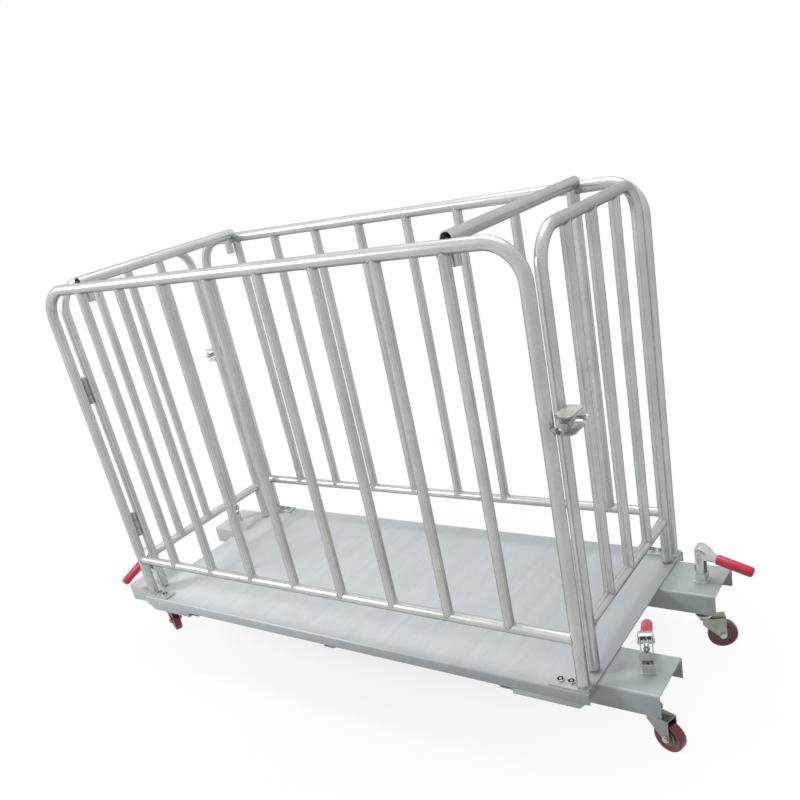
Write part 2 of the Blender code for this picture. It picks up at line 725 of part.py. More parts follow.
def make_side_panels():
    """The near panel carries the left gate's hinges and the right gate's keeper."""
    places = [(x, -PANEL_Y) for x in bar_places(-PANEL_HALF_LENGTH, PANEL_HALF_LENGTH, PANEL_BARS)]
    panel = panel_hoop("side_panel", HOOP_RADIUS, FOOT_PLATE_TOP - 0.002)
    panel = join(panel, panel_rail("rail", RAIL_RADIUS, PANEL_HALF_LENGTH))
    panel = join(panel, upright_bars(places, BAR_RADIUS))
    bore = join(panel_hoop("hoop_bore", HOOP_RADIUS - TUBE_WALL, DECK_TOP, BORE_SIDES),
                panel_rail("rail_bore", RAIL_RADIUS - TUBE_WALL, PANEL_HALF_LENGTH - 0.001, BORE_SIDES))
    bore = join(bore, upright_bars(places, BAR_RADIUS - TUBE_WALL, BORE_SIDES))
    panel = cut(panel, bore)
    for side in (-1, 1):
        panel = join(panel, make_foot_plate(side))
    panel = join(panel, make_panel_bolts())
    for piece in make_post_hinges():
        panel = join(panel, piece)
    panel = join(panel, make_keeper())
    near = finish(panel, GALVANISED, "near_side_panel")
    repeat(near, "far_side_panel", HALF_TURN)


def gate_hoop(name, radius, foot, sides=TUBE_SIDES):
    path = hoop_path(GATE_LATCH_Y, GATE_HINGE_Y, foot, TOP_RAIL_Z, GATE_BEND)
    return bent_tube(name, [(PANEL_HALF_LENGTH, y, z) for y, z in path], radius, sides)


def gate_rail(name, radius, sides=TUBE_SIDES):
    ends = [(PANEL_HALF_LENGTH, y, BOTTOM_RAIL_Z) for y in (GATE_LATCH_Y, GATE_HINGE_Y)]
    return rods(name, [(radius, *ends)], sides)


def latch_plate_outline():
    """A latch plate from above: flush against the gate's tube, with a round outer end."""
    inner_x = PANEL_HALF_LENGTH + RAIL_RADIUS * 0.7
    radius = 0.016
    low = arc((LATCH_OUTER_X - radius, LATCH_END_Y + radius), radius, -90, 0, 4)
    high = arc((LATCH_OUTER_X - radius, LATCH_START_Y - radius), radius, 0, 90, 4)
    post_x = PANEL_HALF_LENGTH + HOOP_RADIUS + 0.003
    step_y = -PANEL_Y + HOOP_RADIUS + 0.004
    return low + high + [(inner_x, LATCH_START_Y), (inner_x, step_y), (post_x, step_y), (post_x, LATCH_END_Y)]


def make_latch_housing():
    """Two plates on the gate with the latch bolt's sleeve between them."""
    plate_centre = (LATCH_SPAN - LATCH_PLATE) / 2
    pieces = []
    for side in (-1, 1):
        place = Matrix.Translation((0.0, 0.0, LATCH_Z + side * plate_centre))
        pieces.append(flat_plate("latch_plate", [latch_plate_outline()], LATCH_PLATE, place))
    radius = bore_radius(LATCH_BOLT_DIAMETER / 2)
    low = LATCH_END_Y + 0.008
    high = low + LATCH_SLEEVE_LENGTH
    sleeve = rods("sleeve", [(radius + LATCH_SLEEVE_WALL, (LATCH_X, low, LATCH_Z), (LATCH_X, high, LATCH_Z))])
    web = blocks("sleeve_web", [((LATCH_X - 0.003, low + 0.004, LATCH_Z - plate_centre),
                                 (LATCH_X + 0.003, high - 0.004, LATCH_Z + plate_centre))])
    bore = rods("bolt_bore", [(radius, (LATCH_X, low - 0.01, LATCH_Z), (LATCH_X, high + 0.01, LATCH_Z))])
    return pieces + [cut(join(sleeve, web), bore)]


def make_gates():
    places = [(PANEL_HALF_LENGTH, y) for y in bar_places(GATE_LATCH_Y, GATE_HINGE_Y, GATE_BARS)]
    gate = gate_hoop("gate", RAIL_RADIUS, GATE_FOOT_Z)
    gate = join(gate, gate_rail("rail", RAIL_RADIUS))
    gate = join(gate, upright_bars(places, BAR_RADIUS))
    bore = join(gate_hoop("hoop_bore", RAIL_RADIUS - TUBE_WALL, GATE_FOOT_Z - 0.01, BORE_SIDES),
                gate_rail("rail_bore", RAIL_RADIUS - TUBE_WALL, BORE_SIDES))
    bore = join(bore, upright_bars(places, BAR_RADIUS - TUBE_WALL, BORE_SIDES))
    gate = cut(gate, bore)
    for height in HINGE_HEIGHTS:
        span = knuckle_spans(height)[1]
        barrel = knuckle("knuckle", PANEL_HALF_LENGTH, HINGE_Y, span, GATE_HINGE_Y + RAIL_RADIUS - 0.002)
        pin_bore = rods("pin_bore", [(bore_radius(PIN_DIAMETER / 2), (PANEL_HALF_LENGTH, HINGE_Y, span[0] - 0.005),
                                      (PANEL_HALF_LENGTH, HINGE_Y, span[1] + 0.005))])
        gate = join(gate, cut(barrel, pin_bore))
    for piece in make_latch_housing():
        gate = join(gate, piece)
    right = finish(gate, GALVANISED, "right_gate", (PANEL_HALF_LENGTH, HINGE_Y, 0.0))
    bpy.context.view_layer.update()
    repeat(right, "left_gate", HALF_TURN)


def make_latch_bolts():
    radius = LATCH_BOLT_DIAMETER / 2
    nose_y = LATCH_END_Y + 0.002
    tail_y = LATCH_START_Y + 0.012
    handle_y = LATCH_START_Y - 0.022
    rod = rods("latch_bolt", [(radius, (LATCH_X, nose_y, LATCH_Z), (LATCH_X, tail_y, LATCH_Z))])
    end_x = LATCH_X + LATCH_HANDLE_REACH
    handle = rods("handle", [(LATCH_HANDLE_DIAMETER / 2, (LATCH_X, handle_y, LATCH_Z), (end_x, handle_y, LATCH_Z))],
                  8)
    place = Matrix.Translation((end_x - 0.002, handle_y, LATCH_Z)) @ Matrix.Rotation(math.radians(90), 4, "Y")
    ball = LATCH_KNOB_DIAMETER / 2
    knob = turned("knob", [(0.0, ball), (ball * 0.8, ball * 0.7), (ball, 0.0), (ball * 0.8, -ball * 0.7),
                           (0.0, -ball)], 8, place)
    bolt = join(join(rod, handle), knob)
    right = finish(bolt, ZINC, "right_latch_bolt", (LATCH_X, nose_y, LATCH_Z))
    bpy.context.view_layer.update()
    repeat(right, "left_latch_bolt", HALF_TURN)


def make_cross_tubes():
    height = TOP_RAIL_Z + CROSS_TUBE_RISE
    ends = ((CROSS_TUBE_X, -CROSS_TUBE_HALF, height), (CROSS_TUBE_X, CROSS_TUBE_HALF, height))
    tube = rods("right_cross_tube", [(HOOP_RADIUS, *ends)])
    stub_foot = height - HOOP_RADIUS - STUB_LENGTH
    stubs = [((CROSS_TUBE_X, side * STUB_Y, stub_foot), (CROSS_TUBE_X, side * STUB_Y, height)) for side in (-1, 1)]
    for start, end in stubs:
        tube = join(tube, rods("stub", [(STUB_DIAMETER / 2, start, end)]))
    past = Vector((0.0, 0.01, 0.0))
    tube_bore = rods("tube_bore", [(HOOP_RADIUS - TUBE_WALL, Vector(ends[0]) - past, Vector(ends[1]) + past)])
    down = Vector((0.0, 0.0, 0.01))
    stub_bores = rods("stub_bores", [(STUB_DIAMETER / 2 - TUBE_WALL, Vector(start) - down,
                                      Vector(end) - Vector((0.0, 0.0, HOOP_RADIUS - TUBE_WALL + 0.001)))
                                     for start, end in stubs])
    rails = rods("rail_copes", [(HOOP_RADIUS + 2 * GAP, (CROSS_TUBE_X - 0.05, side * PANEL_Y, TOP_RAIL_Z),
                                 (CROSS_TUBE_X + 0.05, side * PANEL_Y, TOP_RAIL_Z)) for side in (-1, 1)])
    right = finish(cut(tube, tube_bore, stub_bores, rails), GALVANISED)
    repeat(right, "left_cross_tube", HALF_TURN)


def make_clamp_bracket():
    """A base with two cheeks, with the clamp's axis at the origin and the handle along X."""
    half_length = CLAMP_BASE_LENGTH / 2
    half_width = CLAMP_BASE_WIDTH / 2
    edge = rectangle((-half_length, -half_width), (half_length, half_width))
    hole = circle((0.0, 0.0), bore_radius(STEM_RADIUS), TUBE_SIDES)
    middle = CLAMP_BASE_Z + CLAMP_BASE_THICKNESS / 2
    bracket = flat_plate("clamp_bracket", [edge, hole], CLAMP_BASE_THICKNESS, Matrix.Translation((0, 0, middle)))
    radius = CLAMP_CHEEK_WIDTH / 2
    foot = CLAMP_BASE_TOP - 0.001
    outline = [(-radius, foot), (radius, foot)] + arc((0.0, CLAMP_TOP - radius), radius, 0, 180, 6)
    pivot = circle((0.0, PIVOT_Z), bore_radius(PIVOT_DIAMETER / 2, PIN_SIDES), PIN_SIDES)
    inner = STEM_RADIUS + 0.0005
    for side in (-1, 1):
        faces = sorted((side * inner, side * (inner + CLAMP_CHEEK_THICKNESS)))
        bracket = join(bracket, upright_plate("cheek", outline, faces[0], faces[1], [pivot]))
    return bracket


def lever_outline():
    """A crank plate, with the pivot at the origin: an arm down to the crank pin and one to the handle."""
    slope = -math.degrees(HANDLE_SLOPE)
    hub = LEVER_HUB_RADIUS
    tip = LEVER_TIP_RADIUS
    eye = CRANK_PIN_DIAMETER / 2 + CRANK_EYE_WALL
    arm = GRIP_START - tip - LEVER_TIP_SPACE
    end = (arm * math.cos(HANDLE_SLOPE), -arm * math.sin(HANDLE_SLOPE))
    arm_side = 90 - math.degrees(math.asin((hub - tip) / arm))
    crank_taper = math.degrees(math.asin((hub - eye) / CRANK))
    middle = math.radians((slope - arm_side - crank_taper) / 2)
    reach = hub / math.cos(math.radians((arm_side - slope - crank_taper) / 2))
    corner = (reach * math.cos(middle), reach * math.sin(middle))
    return (arc(end, tip, slope - arm_side, slope + arm_side, 3)
            + arc((0.0, 0.0), hub, slope + arm_side, 180 + crank_taper, 3)
            + arc((0.0, -CRANK), eye, 180 + crank_taper, 360 - crank_taper, 4) + [corner])


def make_clamp_lever():
    """Two crank plates, the pivot pin, the crank pin and the handle's rod."""
    inner = LINK_THICKNESS / 2 + 0.0005
    outline = lever_outline()
    outer = STEM_RADIUS + 0.0005 + CLAMP_CHEEK_THICKNESS
    direction = Vector((math.cos(HANDLE_SLOPE), 0.0, -math.sin(HANDLE_SLOPE)))
    lever = rods("clamp_lever", [(HANDLE_DIAMETER / 2, direction * HANDLE_ROOT, direction * HANDLE_LENGTH)])
    for side in (-1, 1):
        faces = sorted((side * inner, side * (inner + CRANK_PLATE)))
        lever = join(lever, upright_plate("crank_plate", outline, faces[0], faces[1]))
    pivot = rods("pivot", [(PIVOT_DIAMETER / 2, (0.0, -outer - 0.001, 0.0), (0.0, outer + 0.001, 0.0))], PIN_SIDES)
    crank_end = inner + CRANK_PLATE + 0.002
    crank_pin = rods("crank_pin", [(CRANK_PIN_DIAMETER / 2, (0.0, -crank_end, -CRANK), (0.0, crank_end, -CRANK))], PIN_SIDES)
    lever = join(join(lever, pivot), crank_pin)
    for side in (-1, 1):
        head = rods("rivet_head", [(PIVOT_DIAMETER / 2 + 0.002, (0.0, side * (outer + GAP), 0.0),
                                    (0.0, side * (outer + 0.003), 0.0))], PIN_SIDES)
        lever = join(lever, head)
    return lever


def make_clamp_link():
    """A flat link from the crank pin down to the stem, with the crank pin at the origin."""
    outline = arc((0.0, 0.0), EYE_RADIUS, 0, 180, 5) + arc((0.0, -LINK), EYE_RADIUS, 180, 360, 5)
    eye = bore_radius(CRANK_PIN_DIAMETER / 2, PIN_SIDES)
    upper = circle((0.0, 0.0), eye, PIN_SIDES)
    lower = circle((0.0, -LINK), eye, PIN_SIDES)
    return upright_plate("clamp_link", outline, -LINK_THICKNESS / 2, LINK_THICKNESS / 2, [upper, lower])


def make_clamp_grip():
    """A dipped grip on the handle's rod, turned along the handle from the pivot."""
    bore = bore_radius(HANDLE_DIAMETER / 2, GRIP_STEPS)
    radius = GRIP_DIAMETER / 2
    end = GRIP_START + GRIP_LENGTH
    profile = [(0.0, end), (radius * 0.55, end - 0.001), (radius * 0.9, end - 0.006), (radius, end - 0.016),
               (radius, GRIP_START + 0.004), (radius * 0.85, GRIP_START), (bore, GRIP_START),
               (bore, HANDLE_LENGTH + GAP), (0.0, HANDLE_LENGTH + GAP)]
    place = Matrix.Rotation(math.radians(90) + HANDLE_SLOPE, 4, "Y")
    return turned("clamp_grip", profile, GRIP_STEPS, place)


def make_stem():
    """The castor's stem: slotted for the link at its top, with a flange, a race and a kingpin."""
    race_top = CROWN_TOP + GAP + RACE_HEIGHT
    flange_top = race_top + STEM_FLANGE_THICKNESS
    top = STEM_JOINT_Z + 0.008
    head_top = CROWN_TOP - CROWN_THICKNESS - GAP
    kingpin = KINGPIN_DIAMETER / 2
    profile = [(0.0, top), (STEM_RADIUS, top), (STEM_RADIUS, flange_top),
               (STEM_FLANGE_DIAMETER / 2, flange_top), (STEM_FLANGE_DIAMETER / 2, race_top),
               (RACE_DIAMETER / 2, race_top), (RACE_DIAMETER / 2, CROWN_TOP + GAP), (kingpin, CROWN_TOP + GAP),
               (kingpin, head_top), (kingpin + 0.0045, head_top), (kingpin + 0.0045, head_top - 0.005),
               (0.0, head_top - 0.005)]
    stem = turned("lift_stem", profile, TUBE_SIDES)
    half = LINK_THICKNESS / 2 + 0.0004
    slot = blocks("slot", [((-STEM_DIAMETER, -half, STEM_JOINT_Z - STEM_SLOT_DEPTH), (STEM_DIAMETER, half, top + 0.01))])
    return cut(stem, slot)


def make_fork():
    """A pressed fork: a crown on the kingpin and two legs down to the axle, trailing along X."""
    inner = WHEEL_WIDTH / 2 + FORK_GAP
    outer = inner + FORK_SHEET
    corner = (FORK_CORNER - FORK_BACK, outer - FORK_CORNER)
    edge = (arc(corner, FORK_CORNER, 90, 180, 2) + arc((corner[0], -corner[1]), FORK_CORNER, 180, 270, 2)
            + [(FORK_REACH, -outer), (FORK_REACH, outer)])
    kingpin = circle((0.0, 0.0), bore_radius(KINGPIN_DIAMETER / 2), TUBE_SIDES)
    crown = flat_plate("caster_fork", [edge, kingpin], CROWN_THICKNESS,
                       Matrix.Translation((0.0, 0.0, CROWN_TOP - CROWN_THICKNESS / 2)))
    boss = arc((TRAIL, WHEEL_RADIUS), FORK_BOSS_RADIUS, 10, -170, 6)
    leg_top = CROWN_TOP - 0.001
    leg = [(corner[0], leg_top), (corner[0], CROWN_TOP - FORK_BACK_DROP)] + boss[::-1]
    leg += [(FORK_REACH, FORK_EDGE_Z), (FORK_REACH, leg_top)]
    axle = circle((TRAIL, WHEEL_RADIUS), bore_radius(AXLE_DIAMETER / 2, 10), 10)
    for side in (-1, 1):
        faces = sorted((side * inner, side * outer))
        crown = join(crown, upright_plate("leg", leg, faces[0], faces[1], [axle]))
    return crown


def make_axle():
    """An axle bolt with its head and its nut, along Y through the wheel's centre."""
    seat = WHEEL_WIDTH / 2 + FORK_GAP + FORK_SHEET + GAP
    shank = rods("caster_axle", [(AXLE_DIAMETER / 2, (0.0, -seat - 0.001, 0.0), (0.0, seat + 0.009, 0.0))], 10)
    across = 0.0105
    head = rods("head", [(across, (0.0, -seat - 0.006, 0.0), (0.0, -seat, 0.0))], 6)
    nut = rods("nut", [(across, (0.0, seat, 0.0), (0.0, seat + 0.007, 0.0))], 6)
    return join(join(shank, head), nut)


def make_wheel():
    """A wheel turned about Y: a hub, a thin web on both sides and a wide tread."""
    half = WHEEL_WIDTH / 2
    bore = bore_radius(AXLE_DIAMETER / 2, WHEEL_STEPS)
    side = [(bore, half + 0.001), (0.015, half + 0.001), (0.017, half * 0.45), (WHEEL_RADIUS * 0.72, half * 0.45),
            (WHEEL_RADIUS * 0.78, half), (WHEEL_RADIUS, half - 0.003)]
    profile = side + [(radius, -height) for radius, height in reversed(side)]
    return turned("caster_wheel", profile, WHEEL_STEPS, Matrix.Rotation(math.radians(90), 4, "X"))


def place_at_corners(master, name, material, place_of):
    """One piece at each corner, all with the same mesh."""
    first = None
    for corner_name, corner in CORNERS.items():
        if first is None:
            first = finish(master, material, name + "_" + corner_name)
            obj = first
        else:
            obj = bpy.data.objects.new(name + "_" + corner_name, first.data)
            MODEL.objects.link(obj)
        obj.matrix_world = place_of(corner)


def stand(corner):
    return Matrix.Translation((corner["x"] * CLAMP_X, corner["y"] * CLAMP_Y, 0.0))


def clamp_place(corner, height=0.0):
    turn = Matrix.Rotation(math.radians(corner["handle"]), 4, "Z")
    return stand(corner) @ turn @ Matrix.Translation((0.0, 0.0, height))


def castor_place(corner, along=0.0, height=0.0):
    turn = Matrix.Rotation(math.radians(corner["trail"]), 4, "Z")
    return stand(corner) @ turn @ Matrix.Translation((along, 0.0, height))


def make_clamps():
    place_at_corners(make_clamp_bracket(), "clamp_bracket", ZINC, clamp_place)
    place_at_corners(make_clamp_lever(), "clamp_lever", ZINC, lambda corner: clamp_place(corner, PIVOT_Z))
    place_at_corners(make_clamp_grip(), "clamp_grip", GRIP_RED, lambda corner: clamp_place(corner, PIVOT_Z))
    place_at_corners(make_clamp_link(), "clamp_link", ZINC, lambda corner: clamp_place(corner, PIVOT_Z - CRANK))
    place_at_corners(make_stem(), "lift_stem", ZINC, clamp_place)


def make_castors():
    place_at_corners(make_fork(), "caster_fork", ZINC, castor_place)
    place_at_corners(make_axle(), "caster_axle", ZINC, lambda corner: castor_place(corner, TRAIL, WHEEL_RADIUS))
    place_at_corners(make_wheel(), "caster_wheel", WHEEL_RED, lambda corner: castor_place(corner, TRAIL, WHEEL_RADIUS))


clear_scene()
MODEL = make_collection("livestock_scale")
WORKSHOP = make_collection("cutters")
PAINT = make_material("deck_paint", (0.62, 0.65, 0.67), 0.5, 0.3)
GALVANISED = make_material("galvanised_steel", (0.55, 0.56, 0.56), 0.45, 0.8)
ZINC = make_material("bright_zinc", (0.7, 0.71, 0.72), 0.3, 0.9)
GRIP_RED = make_material("grip_red", (0.45, 0.03, 0.05), 0.5, 0.0)
WHEEL_RED = make_material("wheel_red", (0.3, 0.04, 0.06), 0.5, 0.0)

make_deck_plate()
make_underframe()
make_outriggers()
set_at_corners(make_housing(), "load_cell_housing", GALVANISED)
set_at_corners(make_load_cell(), "load_cell", ZINC)
make_levelling_feet()
make_side_panels()
make_gates()
make_latch_bolts()
make_cross_tubes()
make_clamps()
make_castors()
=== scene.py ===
"""Looks of the livestock scale: its tubes, welds, sheets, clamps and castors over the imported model.

Metres, +Z up, in the model's own frame: X along the deck, Y across it, the ground at zero.
"""
import math

import bmesh
import bpy
import numpy as np
from mathutils import Matrix, Vector


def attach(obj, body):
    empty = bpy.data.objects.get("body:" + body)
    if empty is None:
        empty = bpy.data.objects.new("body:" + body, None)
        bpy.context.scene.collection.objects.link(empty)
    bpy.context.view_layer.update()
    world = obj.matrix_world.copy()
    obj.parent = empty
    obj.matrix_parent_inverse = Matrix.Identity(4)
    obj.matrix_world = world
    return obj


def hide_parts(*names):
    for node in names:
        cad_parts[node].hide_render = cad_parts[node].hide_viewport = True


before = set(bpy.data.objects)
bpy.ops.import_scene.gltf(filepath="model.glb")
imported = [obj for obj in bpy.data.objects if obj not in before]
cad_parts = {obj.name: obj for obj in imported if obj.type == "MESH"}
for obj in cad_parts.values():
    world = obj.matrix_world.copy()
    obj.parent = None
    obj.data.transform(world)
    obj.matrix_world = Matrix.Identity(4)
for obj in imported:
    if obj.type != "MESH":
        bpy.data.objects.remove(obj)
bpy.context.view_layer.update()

# Sizes, as in the part's source.
GAP = 0.0003
DECK_HALF = 1.0
DECK_SIDE = 0.43
DECK_TOP = 0.27
DECK_SHEET = 0.005
SKIRT_DEPTH = 0.04
FOLD_RADIUS = 0.008
SEAT_Z = DECK_TOP - DECK_SHEET - GAP
INSIDE_Y = DECK_SIDE - FOLD_RADIUS - GAP
MEMBER_WIDTH = 0.05
MEMBER_WALL = 0.003
END_MEMBER_X = 0.72
LONG_MEMBER_Y = 0.2
INNER_X = END_MEMBER_X + MEMBER_WIDTH / 2 + GAP
OUTRIGGER_REACH = 1.185
OUTRIGGER_WIDTH = 0.2
OUTRIGGER_DEPTH = 0.075
OUTRIGGER_Y = 0.27
OUTRIGGER_SHEET = 0.005
GUIDE_RADIUS = 0.0176
GUIDE_FOOT = 0.2047
PANEL_HALF = 0.973
PANEL_Y = 0.4
TOP_RAIL_Z = 1.56
BOTTOM_RAIL_Z = 0.436
HOOP_RADIUS = 0.019
RAIL_RADIUS = 0.017
BAR_RADIUS = 0.0165
TUBE_WALL = 0.0026
PANEL_BEND = 0.11
PANEL_BARS = 8
PLATE_TOP = 0.2763
PLATE_THICKNESS = 0.006
PLATE_WIDTH = 0.05
PLATE_OUTER = 0.025
PLATE_INNER = 0.105
BOLT_INSETS = (0.038, 0.073)
HEAD_ACROSS = 0.021
GATE_HINGE_Y = 0.342
GATE_LATCH_Y = -0.317
GATE_FOOT_Z = 0.28
GATE_BEND = 0.1
GATE_BARS = 3
HINGE_Y = 0.37
HINGE_HEIGHTS = (0.587, 1.168)
KNUCKLE_RADIUS = 0.009
KNUCKLE_HEIGHT = 0.034
LUG_THICKNESS = 0.007
LATCH_X = 1.014
LATCH_Z = 1.086
LATCH_OUTER_X = 1.037
LATCH_END_Y = -0.39
LATCH_START_Y = -0.3
LATCH_PLATE = 0.005
LATCH_PLATE_Z = 0.0235
CROSS_TUBE_X = 0.765
CROSS_TUBE_HALF = 0.39
CROSS_TUBE_Z = 1.578
STUB_RADIUS = 0.015
STUB_Y = 0.36
STUB_FOOT = 1.504
HOUSING_OUTER_X = 0.9997
HOUSING_INNER_Y = 0.3703
HOUSING_BOTTOM = 0.21
HOUSING_CHAMFER = 0.034
FOOT_X = 0.93
FOOT_Y = 0.398
CLAMP_X = 1.118
CLAMP_Y = 0.262
PIVOT_Z = 0.37
CLAMP_BASE_TOP = 0.27
CHEEK_INNER = 0.0155
CHEEK_THICKNESS = 0.003
CHEEK_RADIUS = 0.0135
CLAMP_TOP = 0.396
CRANK = 0.028
LINK = 0.048
SLOPE = math.radians(17.5)
HANDLE_RADIUS = 0.007
LEVER_HUB_RADIUS = 0.014
LEVER_TIP_RADIUS = 0.0105
LEVER_TIP_SPACE = 0.002
CRANK_EYE_RADIUS = 0.009
GRIP_START = 0.054
GRIP_END = 0.176
GRIP_RADIUS = 0.0175
STEM_RADIUS = 0.012
WHEEL_RADIUS = 0.05
WHEEL_HALF = 0.016
TRAIL = 0.055
CROWN_TOP = 0.12
FORK_INNER = 0.0185
FORK_OUTER = 0.0215
FORK_REACH = TRAIL + 0.012
FORK_EDGE_Z = 0.082
FORK_BACK = 0.018
FORK_CORNER = 0.008

SIDES = 28
HALF_TURN = Matrix.Rotation(math.pi, 4, "Z")
OVER = Matrix.Rotation(math.pi / 2, 4, "X")

# Directions, seen from above, of each clamp's handle and of each castor's trail.
CORNERS = {
    "near_right": (1, -1, 110, -18),
    "far_right": (1, 1, 0, 24),
    "near_left": (-1, -1, -90, -27),
    "far_left": (-1, 1, 313, 12),
}


# ---- Camera

def set_camera():
    """The photograph's view, a little rolled."""
    camera = bpy.data.cameras.new("camera")
    camera.lens = 38.507
    camera.sensor_width = 36.0
    camera.shift_x = 0.0055
    camera.shift_y = 0.1263
    place = Vector((1.9448, -2.2328, 1.8679))
    forward = (Vector((0.1024, 0.0, 0.6046)) - place).normalized()
    level = forward.cross(Vector((0.0, 0.0, 1.0))).normalized()
    upright = level.cross(forward)
    roll = -0.2228
    right = math.cos(roll) * level + math.sin(roll) * upright
    above = math.cos(roll) * upright - math.sin(roll) * level
    turn = Matrix((right, above, -forward)).transposed().to_4x4()
    obj = bpy.data.objects.new("camera", camera)
    obj.matrix_world = Matrix.Translation(place) @ turn
    bpy.context.scene.collection.objects.link(obj)
    bpy.context.scene.camera = obj


set_camera()


# ---- Node trees

def put(tree, kind, sockets=None, **settings):
    """A new node with its settings, whose sockets are given a value or a link."""
    node = tree.nodes.new(kind)
    for name, value in settings.items():
        setattr(node, name, value)
    for name, value in (sockets or {}).items():
        if isinstance(value, bpy.types.NodeSocket):
            tree.links.new(value, node.inputs[name])
        else:
            node.inputs[name].default_value = value
    return node


def maths(tree, operation, first, second=0.0, clamp=False):
    node = put(tree, "ShaderNodeMath", {0: first, 1: second}, operation=operation, use_clamp=clamp)
    return node.outputs[0]


def blended(tree, share, first, second):
    """The colour between two colours."""
    node = put(tree, "ShaderNodeMix", {0: share, 6: first, 7: second}, data_type="RGBA")
    return node.outputs[2]


def ramped(tree, value, low, high, start=0.0, end=1.0):
    """The value's place between low and high, as a number from start to end."""
    return put(tree, "ShaderNodeMapRange", {0: value, 1: low, 2: high, 3: start, 4: end}).outputs[0]


def tree_with(name, kind, inputs, outputs):
    """A new node group, with its input and output nodes."""
    tree = bpy.data.node_groups.new(name, kind)
    for label, (socket, value) in inputs.items():
        item = tree.interface.new_socket(name=label, in_out="INPUT", socket_type=socket)
        if value is not None:
            item.default_value = value
    for label, socket in outputs.items():
        tree.interface.new_socket(name=label, in_out="OUTPUT", socket_type=socket)
    entry = tree.nodes.new("NodeGroupInput")
    leave = tree.nodes.new("NodeGroupOutput")
    return tree, entry.outputs, leave.inputs


def tone(red, green, blue):
    """A colour as it looks on a screen, from 0 to 255, as a shader takes it."""
    linear = [((value / 255 + 0.055) / 1.055) ** 2.4 for value in (red, green, blue)]
    return (*linear, 1.0)


# ---- Surface effects that the finishes share

FLOAT = "NodeSocketFloat"
VECTOR = "NodeSocketVector"
COLOUR = "NodeSocketColor"


def make_clouds():
    """Soft patches of a second colour over the first."""
    tree, given, result = tree_with(
        "clouds", "ShaderNodeTree",
        {"Vector": (VECTOR, None), "Scale": (FLOAT, 5.0), "Spread": (FLOAT, 0.2),
         "First": (COLOUR, None), "Second": (COLOUR, None)},
        {"Colour": COLOUR, "Mask": FLOAT})
    noise = put(tree, "ShaderNodeTexNoise",
                {"Vector": given["Vector"], "Scale": given["Scale"], "Detail": 5.0, "Roughness": 0.6})
    low = maths(tree, "SUBTRACT", 0.5, given["Spread"])
    high = maths(tree, "ADD", 0.5, given["Spread"])
    mask = ramped(tree, noise.outputs["Fac"], low, high)
    tree.links.new(blended(tree, mask, given["First"], given["Second"]), result["Colour"])
    tree.links.new(mask, result["Mask"])
    return tree


def make_drawn_lines():
    """Fine lines along the third axis of the vector, as on drawn tube and rolled sheet."""
    tree, given, result = tree_with(
        "drawn_lines", "ShaderNodeTree",
        {"Vector": (VECTOR, None), "Across": (FLOAT, 400.0), "Along": (FLOAT, 6.0)},
        {"Mask": FLOAT})
    scale = put(tree, "ShaderNodeCombineXYZ", {0: given["Across"], 1: given["Across"], 2: given["Along"]})
    stretched = put(tree, "ShaderNodeVectorMath", {0: given["Vector"], 1: scale.outputs[0]}, operation="MULTIPLY")
    noise = put(tree, "ShaderNodeTexNoise", {"Vector": stretched.outputs[0], "Scale": 1.0, "Detail": 3.0})
    tree.links.new(ramped(tree, noise.outputs["Fac"], 0.3, 0.7), result["Mask"])
    return tree


def make_crystals():
    """The pattern of zinc crystals on galvanised steel."""
    tree, given, result = tree_with(
        "crystals", "ShaderNodeTree",
        {"Vector": (VECTOR, None), "Scale": (FLOAT, 90.0)},
        {"Mask": FLOAT})
    cells = put(tree, "ShaderNodeTexVoronoi", {"Vector": given["Vector"], "Scale": given["Scale"]})
    grey = put(tree, "ShaderNodeSeparateColor", {0: cells.outputs["Color"]})
    tree.links.new(grey.outputs[0], result["Mask"])
    return tree


def make_speckle():
    """Fine grain."""
    tree, given, result = tree_with(
        "speckle", "ShaderNodeTree",
        {"Vector": (VECTOR, None), "Scale": (FLOAT, 600.0)},
        {"Mask": FLOAT})
    noise = put(tree, "ShaderNodeTexNoise",
                {"Vector": given["Vector"], "Scale": given["Scale"], "Detail": 2.0, "Roughness": 0.7})
    tree.links.new(ramped(tree, noise.outputs["Fac"], 0.25, 0.75), result["Mask"])
    return tree


CLOUDS = make_clouds()
DRAWN_LINES = make_drawn_lines()
CRYSTALS = make_crystals()
SPECKLE = make_speckle()


def effect(tree, group, **sockets):
    node = put(tree, "ShaderNodeGroup", node_tree=group)
    for name, value in sockets.items():
        socket = node.inputs[name.title()]
        if isinstance(value, bpy.types.NodeSocket):
            tree.links.new(value, socket)
        else:
            socket.default_value = value
    return node.outputs


def finish_tree(name, metallic, specular=0.5, edge=1.0):
    """A material with its shader, object coordinates and lay."""
    material = bpy.data.materials.new(name)
    material.use_nodes = True
    tree = material.node_tree
    shader = tree.nodes["Principled BSDF"]
    shader.inputs["Metallic"].default_value = metallic
    shader.inputs["Specular IOR Level"].default_value = specular
    # Specular Tint from edge: below one it darkens the reflection at grazing angles, which is painted shade along each
    # outline.
    shader.inputs["Specular Tint"].default_value = (edge, edge, edge, 1.0)
    place = put(tree, "ShaderNodeTexCoord").outputs["Object"]
    lay = put(tree, "ShaderNodeAttribute", attribute_name="lay").outputs["Vector"]
    return material, tree, shader.inputs, place, lay


def bumped(tree, height, distance, strength=1.0):
    node = put(tree, "ShaderNodeBump", {"Height": height, "Distance": distance, "Strength": strength})
    return node.outputs[0]


